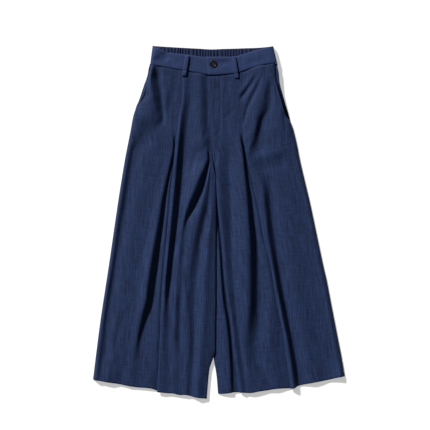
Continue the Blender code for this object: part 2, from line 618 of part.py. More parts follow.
def make_belt_loops(carriers):
    """The two belt loops: strips that lie over the band and end below the waist seam."""
    ground = looked_at(*carriers)
    for (name, top, end), start, stop in zip(LOOPS, LOOP_TOP, LOOP_END):
        rows = []
        for share in even_shares(9):
            down = blend(start, stop, share)
            middle = blend(top, end, share)
            sides = [middle - LOOP_WIDTH / 2, middle, middle + LOOP_WIDTH / 2]
            rest = max(top_of(ground, middle + LOOP_WIDTH * (step - 0.5), down)
                       for step in even_shares(8))
            stand = SEAM_GAP + LOOP_CLOTH / 2 + LOOP_EASE * math.sin(math.pi * share) ** 0.5
            rows.append([Vector((side, down, rest + stand)) for side in sides])
        cloth_sheet(name, rows, LOOP_CLOTH, NAVY_SHADE)


def make_button(carriers):
    """The four-hole waist button, turned with a rim and a dished middle."""
    radius = BUTTON_DIAMETER / 2
    seat = top_of(looked_at(*carriers), BUTTON_ACROSS, BUTTON_DOWN) + SEAM_GAP
    dish = BUTTON_THICKNESS - 0.9
    profile = ((radius - BUTTON_RIM - 0.8, dish), (radius - BUTTON_RIM, BUTTON_THICKNESS - 0.1),
               (radius - 1, BUTTON_THICKNESS), (radius, BUTTON_THICKNESS - 0.8),
               (radius, 0.8), (radius - 0.9, 0))
    rim = bmesh.new()
    first = rim.verts.new((0, 0, dish * MM))
    for across, height in profile:
        last = rim.verts.new((across * MM, 0, height * MM))
        rim.edges.new((first, last))
        first = last
    last = rim.verts.new((0, 0, 0))
    rim.edges.new((first, last))
    mesh = bpy.data.meshes.new("waist_button")
    rim.to_mesh(mesh)
    rim.free()
    button = add_part("waist_button", mesh, HORN, 0.35)
    button.location = place((BUTTON_ACROSS, BUTTON_DOWN, seat))
    turned = button.modifiers.new("Turned", "SCREW")
    turned.steps = 24
    turned.render_steps = 24
    turned.use_merge_vertices = True
    turned.merge_threshold = 0.00001
    for corner in range(4):
        angle = math.pi / 4 + corner * math.pi / 2
        out = BUTTON_HOLE_PITCH / 2 / math.cos(math.pi / 4)
        bpy.ops.mesh.primitive_cylinder_add(vertices=10, radius=BUTTON_HOLE / 2 * MM, depth=0.02)
        cutter = bpy.context.object
        cutter.name = f"button_hole_{corner}"
        for group in list(cutter.users_collection):
            group.objects.unlink(cutter)
        CUTTERS.objects.link(cutter)
        cutter.parent = button
        cutter.location = (math.cos(angle) * out * MM, math.sin(angle) * out * MM, 0)
        cutter.hide_render = True
        cutter.display_type = "WIRE"
        hole = button.modifiers.new(f"Hole {corner}", "BOOLEAN")
        hole.operation = "DIFFERENCE"
        hole.object = cutter


def centre_on_origin():
    """Bring the middle of the garment's outline over the origin."""
    bpy.context.view_layer.update()
    seen = bpy.context.evaluated_depsgraph_get()
    points = []
    for part in GARMENT.objects:
        if part.type == "MESH":
            solid = part.evaluated_get(seen)
            points += [part.matrix_world @ vertex.co for vertex in solid.data.vertices]
    low = Vector([min(point[axis] for point in points) for axis in range(3)])
    high = Vector([max(point[axis] for point in points) for axis in range(3)])
    ANCHOR.location = Vector((-(low.x + high.x) / 2, -(low.y + high.y) / 2, -low.z))


# Colours in linear light
NAVY = (0.024, 0.037, 0.098)
NAVY_SHADE = (0.018, 0.028, 0.078)
HORN = (0.012, 0.009, 0.008)

clear_scene()
GARMENT = bpy.data.collections.new("wide_leg_trousers")
CUTTERS = bpy.data.collections.new("cutters")
bpy.context.scene.collection.children.link(GARMENT)
bpy.context.scene.collection.children.link(CUTTERS)
ANCHOR = bpy.data.objects.new("garment", None)
GARMENT.objects.link(ANCHOR)

make_backs()
make_back_band()
make_pocket_facings()
panels = make_fronts()
bands = make_front_bands()
make_belt_loops(panels + bands)
make_button(bands)
centre_on_origin()
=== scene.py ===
# %% [markdown]
# # Wide-leg trousers, laid flat
#
# These are cropped trousers in navy suiting. They have an elastic back waist, a buttoned
# front band, slanted pockets and one deep inverted pleat in each leg. They lie on a pale
# table, front up, and are seen from straight above.
#
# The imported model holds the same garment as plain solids. Each cell below makes one piece
# of cloth in its place, with finer folds, seams and a woven finish.

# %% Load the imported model
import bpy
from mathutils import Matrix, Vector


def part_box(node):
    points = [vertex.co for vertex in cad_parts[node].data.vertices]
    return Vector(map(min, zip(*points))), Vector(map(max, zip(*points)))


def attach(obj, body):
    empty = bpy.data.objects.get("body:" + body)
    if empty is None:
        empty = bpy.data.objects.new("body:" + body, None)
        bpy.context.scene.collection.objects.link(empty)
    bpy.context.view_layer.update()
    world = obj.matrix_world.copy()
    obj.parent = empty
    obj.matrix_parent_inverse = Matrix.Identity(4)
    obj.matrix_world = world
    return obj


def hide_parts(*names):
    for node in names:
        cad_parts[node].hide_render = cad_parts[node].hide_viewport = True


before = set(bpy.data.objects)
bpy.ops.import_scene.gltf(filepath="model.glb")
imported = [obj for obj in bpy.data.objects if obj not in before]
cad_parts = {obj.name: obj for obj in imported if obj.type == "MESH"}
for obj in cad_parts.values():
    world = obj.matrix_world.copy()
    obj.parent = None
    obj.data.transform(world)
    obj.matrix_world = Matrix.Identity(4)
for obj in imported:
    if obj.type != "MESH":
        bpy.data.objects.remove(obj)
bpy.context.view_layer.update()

import math
from bisect import bisect_right
from collections import namedtuple

import bmesh
import bpy
from mathutils import Vector, noise
from mathutils.bvhtree import BVHTree

print("nodes:", ", ".join(sorted(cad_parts)))

# %% [markdown]
# ## Where everything is
#
# The tables in this file are in millimetres. "across" is the distance to the right of the
# middle, "down" the distance below the highest point of the waist, and "height" the
# distance of the cloth above the table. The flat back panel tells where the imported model
# has the table's zero, so that each piece lands on its solid.

# %% Find the zero of the tables
MM = 0.001
BACK_SIDE = -344        # the left back panel's outermost across
BACK_HEM = 961          # the left back panel's lowest down

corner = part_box("back_panel_left")[0]
ZERO = Vector((corner.x - BACK_SIDE * MM, corner.y + BACK_HEM * MM, 0))


def place(point):
    """A point of the tables, in the frame's metres."""
    across, down, height = point
    return ZERO + Vector((across, -down, height)) * MM


print("zero of the tables:", [round(value / MM, 2) for value in ZERO], "mm")

# %% [markdown]
# ## Camera, light and table
#
# The garment is seen from straight above with a long lens. One low lamp at the upper left
# draws the folds, and the white room fills their shadows a little. The table is a backlit
# white board of the kind that is used for photographs of laid clothes, so that shadows on
# it stay pale.

# %% Camera
PHOTO_WIDTH = 1.1825    # metres that the picture shows at the height of the cloth
LENS = 100
SENSOR = 36
CLOTH_LEVEL = 0.008     # metres, the usual height of the cloth

camera_data = bpy.data.cameras.new("camera")
camera_data.lens = LENS
camera_data.sensor_width = SENSOR
camera = bpy.data.objects.new("camera", camera_data)
camera.location = (-0.0109, 0.0198, PHOTO_WIDTH * LENS / SENSOR + CLOTH_LEVEL)
bpy.context.scene.collection.objects.link(camera)
bpy.context.scene.camera = camera
# The light's own colours are shown, without a film look, so that the board stays white.
bpy.context.scene.view_settings.view_transform = "Standard"
print("camera height:", round(camera.location.z, 3), "m")

# %% Lamp and room
SUN_AZIMUTH = 130       # degrees, from +X towards +Y
SUN_HEIGHT = 30
SUN_POWER = 5.9
SUN_SIZE = 6            # degrees
ROOM_FILL = 0.11

sun = bpy.data.lights.new("lamp", "SUN")
sun.energy = SUN_POWER
sun.angle = math.radians(SUN_SIZE)
lamp = bpy.data.objects.new("lamp", sun)
level = math.cos(math.radians(SUN_HEIGHT))
towards = Vector((math.cos(math.radians(SUN_AZIMUTH)) * level,
                  math.sin(math.radians(SUN_AZIMUTH)) * level,
                  math.sin(math.radians(SUN_HEIGHT))))
lamp.rotation_euler = towards.to_track_quat("Z", "Y").to_euler()
bpy.context.scene.collection.objects.link(lamp)

room = bpy.data.worlds.new("room")
bpy.context.scene.world = room
room.use_nodes = True
room.node_tree.nodes["Background"].inputs["Color"].default_value = (1, 1, 1, 1)
room.node_tree.nodes["Background"].inputs["Strength"].default_value = ROOM_FILL
print("lamp from", [round(value, 2) for value in towards])

# %% [markdown]
# ## Materials
#
# A material is a small network of nodes. One function turns the usual hex colours into the
# linear colours that Blender wants, and one adds a node with its settings and links.

# %% Helpers for materials
def linear(code):
    """An sRGB hex colour as Blender's linear colour."""
    parts = [int(code[at:at + 2], 16) / 255 for at in (1, 3, 5)]
    return tuple(part / 12.92 if part <= 0.04045 else ((part + 0.055) / 1.055) ** 2.4
                 for part in parts) + (1,)


def add_node(tree, kind, settings=None, links=None):
    """Add a node. Settings are its own properties or sockets, links feed its sockets."""
    made = tree.nodes.new(kind)
    for name, value in (settings or {}).items():
        if isinstance(name, str) and hasattr(made, name):
            setattr(made, name, value)
        else:
            made.inputs[name].default_value = value
    for name, source in (links or {}).items():
        tree.links.new(source, made.inputs[name])
    return made


def new_material(name):
    """An empty material, its node tree and its output node."""
    made = bpy.data.materials.new(name)
    made.use_nodes = True
    made.node_tree.nodes.clear()
    return made, made.node_tree, made.node_tree.nodes.new("ShaderNodeOutputMaterial")


print("middle grey in linear light:", round(linear("#808080")[0], 3))

# %% Table
TABLE_SIZE = 60         # metres
TABLE_DROP = 0.0004     # metres below the garment's underside


def mesh_of(name, shape, smooth=False):
    """The mesh of a bmesh, which isn't needed after that."""
    for face in shape.faces:
        face.smooth = smooth
    mesh = bpy.data.meshes.new(name)
    shape.to_mesh(mesh)
    shape.free()
    return mesh


# Opal acrylic glows evenly from below, so a shadow on it is pale and has no colour.
table_paint, tree, output = new_material("white acrylic light board")
board = add_node(tree, "ShaderNodeBsdfPrincipled", {
    "Base Color": linear("#CCCCCB"), "Roughness": 0.9, "Specular IOR Level": 0.1,
    "Emission Color": linear("#FFFFFE"), "Emission Strength": 0.45})
tree.links.new(board.outputs[0], output.inputs["Surface"])
top = bmesh.new()
bmesh.ops.create_grid(top, x_segments=1, y_segments=1, size=TABLE_SIZE / 2)
table_mesh = mesh_of("table", top)
table_mesh.materials.append(table_paint)
table = bpy.data.objects.new("table", table_mesh)
table.location.z = -TABLE_DROP
bpy.context.scene.collection.objects.link(table)
print("table", TABLE_SIZE, "m wide")

# %% [markdown]
# ## Suiting
#
# The cloth is a viscose and wool twill. Its yarns run along each piece, so the pattern
# reads the piece's own UV map, in metres of cloth, and not the room's directions. Three
# things show from a step away: soft slubs along the warp where a yarn is thicker, a fine
# slanting rib, and a faint sheen of short fibres on the slopes.

# %% Twill suiting
RIB_DRAWN = 1.5         # mm; the real rib of 0.6 mm is too fine to show in the picture
SLUB_WIDTH = 3.2        # mm across the warp
SLUB_LENGTH = 60        # mm along the warp
PICK_LENGTH = 30        # mm along the weft, of its thicker yarns
PICK_WIDTH = 2.8
PICK_SHARE = 0.34       # how much of the unevenness lies along the weft
RIB_SLANT = 62          # degrees
RIB_SHARE = 0.35        # how much of the relief is the rib
RELIEF = 0.5            # mm


# Two-ply yarns spun from short fibres make the cloth matt, with a soft glow on the slopes.
def twill(name, dark, light, slub_share=0.5):
    """Navy twill: matt, slubbed along the warp, finely ribbed, with a soft sheen."""
    made, tree, output = new_material(name)
    cloth = add_node(tree, "ShaderNodeUVMap", {"uv_map": "cloth"}).outputs[0]
    warp = add_node(tree, "ShaderNodeMapping",
                    {"Scale": (1 / (SLUB_WIDTH * MM), 1 / (SLUB_LENGTH * MM), 1)},
                    {"Vector": cloth})
    slubs = add_node(tree, "ShaderNodeTexNoise", {"Scale": 1, "Detail": 3, "Roughness": 0.6},
                     {"Vector": warp.outputs[0]})
    weft = add_node(tree, "ShaderNodeMapping",
                    {"Scale": (1 / (PICK_LENGTH * MM), 1 / (PICK_WIDTH * MM), 1)},
                    {"Vector": cloth})
    picks = add_node(tree, "ShaderNodeTexNoise", {"Scale": 1, "Detail": 2, "Roughness": 0.5},
                     {"Vector": weft.outputs[0]})
    ribs = add_node(tree, "ShaderNodeMapping",
                    {"Scale": (1 / MM, 1 / MM, 1), "Rotation": (0, 0, math.radians(RIB_SLANT))},
                    {"Vector": cloth})
    rib = add_node(tree, "ShaderNodeTexWave",
                   {"Scale": 2 * math.pi / (20 * RIB_DRAWN), "Distortion": 1.2, "Detail": 2,
                    "Detail Scale": 2.5}, {"Vector": ribs.outputs[0]})
    both = add_node(tree, "ShaderNodeMix", {"Factor": PICK_SHARE, "data_type": "FLOAT"},
                    {"A": slubs.outputs[0], "B": picks.outputs[0]})
    spread = add_node(tree, "ShaderNodeMapRange",
                      {"From Min": 0.5 - 0.5 * slub_share, "From Max": 0.5 + 0.5 * slub_share},
                      {"Value": both.outputs[0]})
    colour = add_node(tree, "ShaderNodeMix", {"data_type": "RGBA", 6: linear(dark),
                                              7: linear(light)},
                      {"Factor": spread.outputs[0]})
    relief = add_node(tree, "ShaderNodeMix", {"Factor": RIB_SHARE, "data_type": "FLOAT"},
                      {"A": both.outputs[0], "B": rib.outputs[1]})
    bump = add_node(tree, "ShaderNodeBump", {"Strength": 0.5, "Distance": RELIEF * MM},
                    {"Height": relief.outputs[0]})
    shader = add_node(tree, "ShaderNodeBsdfPrincipled", {
        "Roughness": 0.75, "IOR": 1.5, "Specular IOR Level": 0.14,
        "Sheen Weight": 0.12, "Sheen Roughness": 0.45, "Sheen Tint": linear("#9FB4E0")},
        {"Base Color": colour.outputs[2], "Normal": bump.outputs[0]})
    tree.links.new(shader.outputs[0], output.inputs["Surface"])
    return made


SUITING = twill("navy twill suiting", "#0C132B", "#25375D", 0.4)
# The band's and the loops' copy of the suiting is lighter than the legs' copy. This is painted
# light: it stands in for the stronger light that falls on the waist.
SUITING_PAINTED_LIGHTER = twill("navy twill suiting, interlined, painted lighter", "#1C2647", "#2E3E66", 0.6)
SUITING_ELASTIC = twill("navy twill suiting on elastic", "#161F3A", "#202B4C", 0.6)
print("suiting materials made")

# %% [markdown]
# ## How a panel of cloth is described
#
# A leg lies as a stack of folds. Each fold, hollow and edge is one line that runs from the
# waist down to the hem, with two short tables: where it lies across the garment, and how
# high. A section of the leg crosses all its lines, and a smooth curve through those
# crossings is one row of the cloth. A real pleat doubles the cloth back under itself, so
# such a fold adds a turn and a return below its own edge.

# %% Reading a table smoothly
def along(table, at):
    """Read a two-column table at any key, on a smooth curve that never overshoots."""
    keys = [row[0] for row in table]
    values = [row[1] for row in table]
    if at <= keys[0]:
        return values[0]
    if at >= keys[-1]:
        return values[-1]
    spans = [b - a for a, b in zip(keys, keys[1:])]
    rises = [(b - a) / span for a, b, span in zip(values, values[1:], spans)]
    slopes = [rises[0]]
    for before, after in zip(rises, rises[1:]):
        same_way = before * after > 0
        slopes.append(2 * before * after / (before + after) if same_way else 0)
    slopes.append(rises[-1])
    here = bisect_right(keys, at) - 1
    span = spans[here]
    t = (at - keys[here]) / span
    start = (1 + 2 * t) * (1 - t) ** 2 * values[here] + t * (1 - t) ** 2 * span * slopes[here]
    end = t * t * (3 - 2 * t) * values[here + 1] - t * t * (1 - t) * span * slopes[here + 1]
    return start + end


print("a table read between its rows:", along(((0, 0), (10, 5)), 4))


# %% Shares and smooth curves
def blend(a, b, share):
    """A value between a and b."""
    return a + (b - a) * share


def ease(share):
    """A share from 0 to 1, slow at both ends."""
    share = min(max(share, 0), 1)
    return share * share * (3 - 2 * share)


def even_shares(count):
    """Shares from 0 to 1 in equal steps."""
    return [step / count for step in range(count + 1)]


def curve_through(points, spans):
    """Points along a smooth curve through the given ones (centripetal Catmull-Rom)."""
    path = [points[0] * 2 - points[1]] + points + [points[-1] * 2 - points[-2]]
    curve = []
    for first, count in enumerate(spans):
        before, start, end, after = path[first:first + 4]
        spread = [max((b - a).length, 0.01) ** 0.5
                  for a, b in ((before, start), (start, end), (end, after))]
        leave = ((start - before) / spread[0] - (end - before) / (spread[0] + spread[1])
                 + (end - start) / spread[1]) * spread[1]
        arrive = ((end - start) / spread[1] - (after - start) / (spread[1] + spread[2])
                  + (after - end) / spread[2]) * spread[1]
        for step in range(count):
            t = step / count
            curve.append(start * (2 * t ** 3 - 3 * t ** 2 + 1) + leave * (t ** 3 - 2 * t ** 2 + t)
                         + end * (3 * t ** 2 - 2 * t ** 3) + arrive * (t ** 3 - t ** 2))
    curve.append(points[-1])
    return curve


print("halfway between 2 and 4:", blend(2, 4, 0.5))

# %% Lines, pleats and sections
SEAM_GAP = 0.3          # mm between pieces that are sewn together
TURN = 1.35             # radius of a doubled-back fold, to the cloth's middle layer
UNDERLAY = 2.3          # height of a pleat's underlay above the table
COLUMN_STEP = 2.8       # mm, the widest a column of cloth may be
LIFT_SHARE = 0.45       # share of a pleat's opening in which its layers part
OPEN_FROM = 0.4         # share of it after which the fold grows deep
FULL_DEPTH_AFTER = 500  # mm below its opening, where a pleat has its depth at the hem
SHUT_START = 3          # where a shut pleat's six points lie, left of its edge
SHUT_STEP = 0.6
MIDDLE_SHARES = (0, 0.25, 0.5, 0.75, 1)

Line = namedtuple("Line", "name hem beside across height")
Pleat = namedtuple("Pleat", "release open depth_top depth_hem")
PLEATS = {
    "fold_b": Pleat(240, 290, 5, 9),
    "fold_c": Pleat(312, 368, 4, 12),
    "fold_d": Pleat(238, 292, 5, 10),
}


def pleat_points(pleat, down, edge, height):
    """Six points around a pleat's fold: underlay, turn, return, and the fold's own lip."""
    reach = pleat.open - pleat.release
    lifted = ease((down - pleat.release) / (LIFT_SHARE * reach))
    opened = ease((down - pleat.release - OPEN_FROM * reach) / ((1 - OPEN_FROM) * reach))
    far = ease((down - pleat.open) / FULL_DEPTH_AFTER)
    turn = edge + blend(pleat.depth_top, pleat.depth_hem, far)
    flat = [(edge - SHUT_START + SHUT_STEP * step, height) for step in range(6)]
    doubled = [
        (turn - TURN, UNDERLAY),
        (turn, UNDERLAY + TURN),
        (turn - TURN, UNDERLAY + 2 * TURN),
        (edge + 0.9, height - TURN),
        (edge, height),
        (edge + 1.1, height + 1.8),
    ]
    return [Vector((blend(a[0], b[0], opened), down, blend(a[1], b[1], lifted)))
            for a, b in zip(flat, doubled)]


def across_of(lines, line, down):
    """Where a line lies across the garment, at a distance down."""
    beside = next((other for other in lines if other.name == line.beside), None)
    return along(line.across, down) + (across_of(lines, beside, down) if beside else 0)


def section_points(lines, top_edge, share):
    """The points where a section crosses the lines."""
    points = []
    for line in lines:
        top = along(top_edge, across_of(lines, line, 0)) + SEAM_GAP
        down = blend(top, line.hem, share)
        across = across_of(lines, line, down)
        height = along(line.height, down)
        if line.name in PLEATS:
            points += pleat_points(PLEATS[line.name], down, across, height)
        else:
            points.append(Vector((across, down, height)))
    return points


def column_counts(sections):
    """Columns between neighbouring points, none wider than COLUMN_STEP."""
    widest = [max((row[at + 1] - row[at]).length for row in sections)
              for at in range(len(sections[0]) - 1)]
    return [max(2, math.ceil(width / COLUMN_STEP)) for width in widest]


def panel_rows(lines, top_edge, shares):
    """The rows of a panel, from its top edge to its hem."""
    spans = column_counts([section_points(lines, top_edge, share) for share in MIDDLE_SHARES])
    rows = [curve_through(section_points(lines, top_edge, share), spans) for share in shares]
    for point in rows[0]:
        point.y = along(top_edge, point.x) + SEAM_GAP
    return rows


print("pleats:", ", ".join(PLEATS))

# %% [markdown]
# ## From rows to a piece of cloth
#
# A grid has the right faces already, so bmesh makes one, and each of its points then moves
# to its place in the rows. The grid also gets a UV map that is measured on the cloth, so
# that the weave isn't stretched. Solidify gives the sheet its thickness, half to each side.

# %% Making a piece
CLOTH = 1.1             # mm


def piece_of(name, mesh, material, node):
    """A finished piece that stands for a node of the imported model."""
    piece = bpy.data.objects.new(name, mesh)
    mesh.materials.append(material)
    bpy.context.scene.collection.objects.link(piece)
    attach(piece, "root")
    if node:
        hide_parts(node)
    return piece


print("cloth", CLOTH, "mm thick")


# %% Laying a grid on the rows
def measured(rows, grain):
    """The place of each point on the flat cloth: from the grain column, and from the top."""
    places = []
    below = [0.0] * len(rows[0])
    for number, row in enumerate(rows):
        if number:
            below = [so_far + (point - above).length
                     for so_far, point, above in zip(below, row, rows[number - 1])]
        beside = [0.0]
        for left, right in zip(row, row[1:]):
            beside.append(beside[-1] + (right - left).length)
        places.append([((distance - beside[grain]) * MM, -depth * MM)
                       for distance, depth in zip(beside, below)])
    return places


def sheet_mesh(name, rows, grain=0):
    """A sheet of quads whose rows run from the waist down and whose points run across."""
    columns = len(rows[0])
    places = measured(rows, grain)
    sheet = bmesh.new()
    bmesh.ops.create_grid(sheet, x_segments=columns - 1, y_segments=len(rows) - 1, size=1)
    seats = {}
    for vertex in sheet.verts:
        column = round((vertex.co.x + 1) / 2 * (columns - 1))
        row = round((1 - vertex.co.y) / 2 * (len(rows) - 1))
        seats[vertex] = (row, column)
        vertex.co = place(rows[row][column])
    weave = sheet.loops.layers.uv.new("cloth")
    for face in sheet.faces:
        for loop in face.loops:
            row, column = seats[loop.vert]
            loop[weave].uv = places[row][column]
    return mesh_of(name, sheet, smooth=True)


def cloth_piece(name, rows, material, node, thickness=CLOTH, grain=0):
    """A sheet of cloth with its thickness."""
    piece = piece_of(name, sheet_mesh(name, rows, grain), material, node)
    wall = piece.modifiers.new("Thickness", "SOLIDIFY")
    wall.thickness = thickness * MM
    wall.offset = 0
    wall.use_rim = True
    print(name, len(rows), "rows of", len(rows[0]))
    return piece


def flat_area(rows):
    """The area of the laid cloth in square metres."""
    area = 0
    for above, below in zip(rows, rows[1:]):
        for at in range(len(above) - 1):
            one = (above[at + 1] - above[at]).cross(below[at] - above[at]).length / 2
            two = (below[at] - below[at + 1]).cross(above[at + 1] - below[at + 1]).length / 2
            area += one + two
    return area * MM * MM


square = [[Vector((across, down, 0)) for across in (0, 1000)] for down in (0, 1000)]
print("a metre square measures", flat_area(square), "square metres")

# %% [markdown]
# ## Creases listed one by one
#
# The lines above give the large folds. The small creases of worn and laid cloth are drawn
# one by one, as soft ridges and troughs along short paths. A lift above zero is a ridge.
# Slow noise keeps what lies between them from being perfectly smooth.

# %% Creases and unevenness
Crease = namedtuple("Crease", "name width lift path")
CREASE_FADE = 0.3       # share of a crease's length in which it fades at each end
LUMPS = ((95, 170, 0.55), (26, 120, 0.22))      # mm across, mm down, mm of height
LOW = 2                 # mm, the cloth's level where it rests on the layer below
FREE = 4                # mm above that, where creases have their full depth


def resting_lift(creases, across, down):
    """How far the small creases lift the cloth at a place."""
    total = 0
    for crease, box, path in creases:
        if not (box[0] < across < box[1] and box[2] < down < box[3]):
            continue
        here = Vector((across, down))
        nearest = (1e9, 0)
        for number, (start, end) in enumerate(zip(path, path[1:])):
            run = end - start
            share = min(max((here - start).dot(run) / run.length_squared, 0), 1)
            nearest = min(nearest, ((start + run * share - here).length, number + share))
        share = nearest[1] / (len(path) - 1)
        fade = ease(min(share, 1 - share) / CREASE_FADE)
        total += crease.lift * fade * math.exp(-(2 * nearest[0] / crease.width) ** 2)
    return total


def prepared(creases):
    """Creases with smooth paths and the boxes that they lie in."""
    ready = []
    for crease in creases:
        corners = [Vector((across, down, 0)) for across, down in crease.path]
        path = [point.to_2d() for point in curve_through(corners, [6] * (len(corners) - 1))]
        reach = 1.3 * crease.width
        ready.append((crease, (min(p.x for p in path) - reach, max(p.x for p in path) + reach,
                               min(p.y for p in path) - reach, max(p.y for p in path) + reach),
                      path))
    return ready


def crease_rows(rows, creases, seed):
    """Lift the rows' points by their creases and by slow noise, less where they lie low."""
    ready = prepared(creases)
    for row in rows:
        for point in row:
            lift = resting_lift(ready, point.x, point.y)
            for wide, long, height in LUMPS:
                lift += height * noise.noise(Vector((point.x / wide, point.y / long, seed)))
            free = min(max((point.z - LOW) / FREE, 0), 1)
            point.z = max(point.z + lift * free, min(point.z, LOW))
    return rows


print("kinds of slow unevenness:", len(LUMPS))

# %% [markdown]
# ## The two front legs
#
# Each front leg is one piece of suiting from the waist seam to the hem. Its lines are
# listed from its left edge to its right edge. Across values of a line with a "beside" are
# measured from that line, so that the edge's own roll follows it.

# %% Seams and sections of the legs
FRONT_SEAM = ((-188, 51), (-149, 59), (-102, 67), (-36, 79), (-27, 81), (45, 76), (60, 72),
              (113, 55), (158, 48))
SECTION_STEP = 4        # mm from one row to the next
TUCK_DEPTH = 3.0        # mm that the cloth dips into the waist seam
TUCK_WIDTH = 2.6
TUCK_ROWS = 12
TOP_SHARES = (0, 0.0012, 0.0024, 0.004, 0.006)
EVEN_FROM = 0.008       # the share of the leg where even rows take over

LEG_ROWS = round(900 / SECTION_STEP)
LEG_SHARES = list(TOP_SHARES) + [share for share in even_shares(LEG_ROWS) if share > EVEN_FROM]


def tucked(rows, top_edge):
    """Dip a panel's top rows into the waist seam."""
    for row in rows[:TUCK_ROWS]:
        for point in row:
            below = point.y - along(top_edge, point.x)
            point.z -= TUCK_DEPTH * math.exp(-(below / TUCK_WIDTH) ** 2)
    return rows


print(len(LEG_SHARES), "rows down a leg")

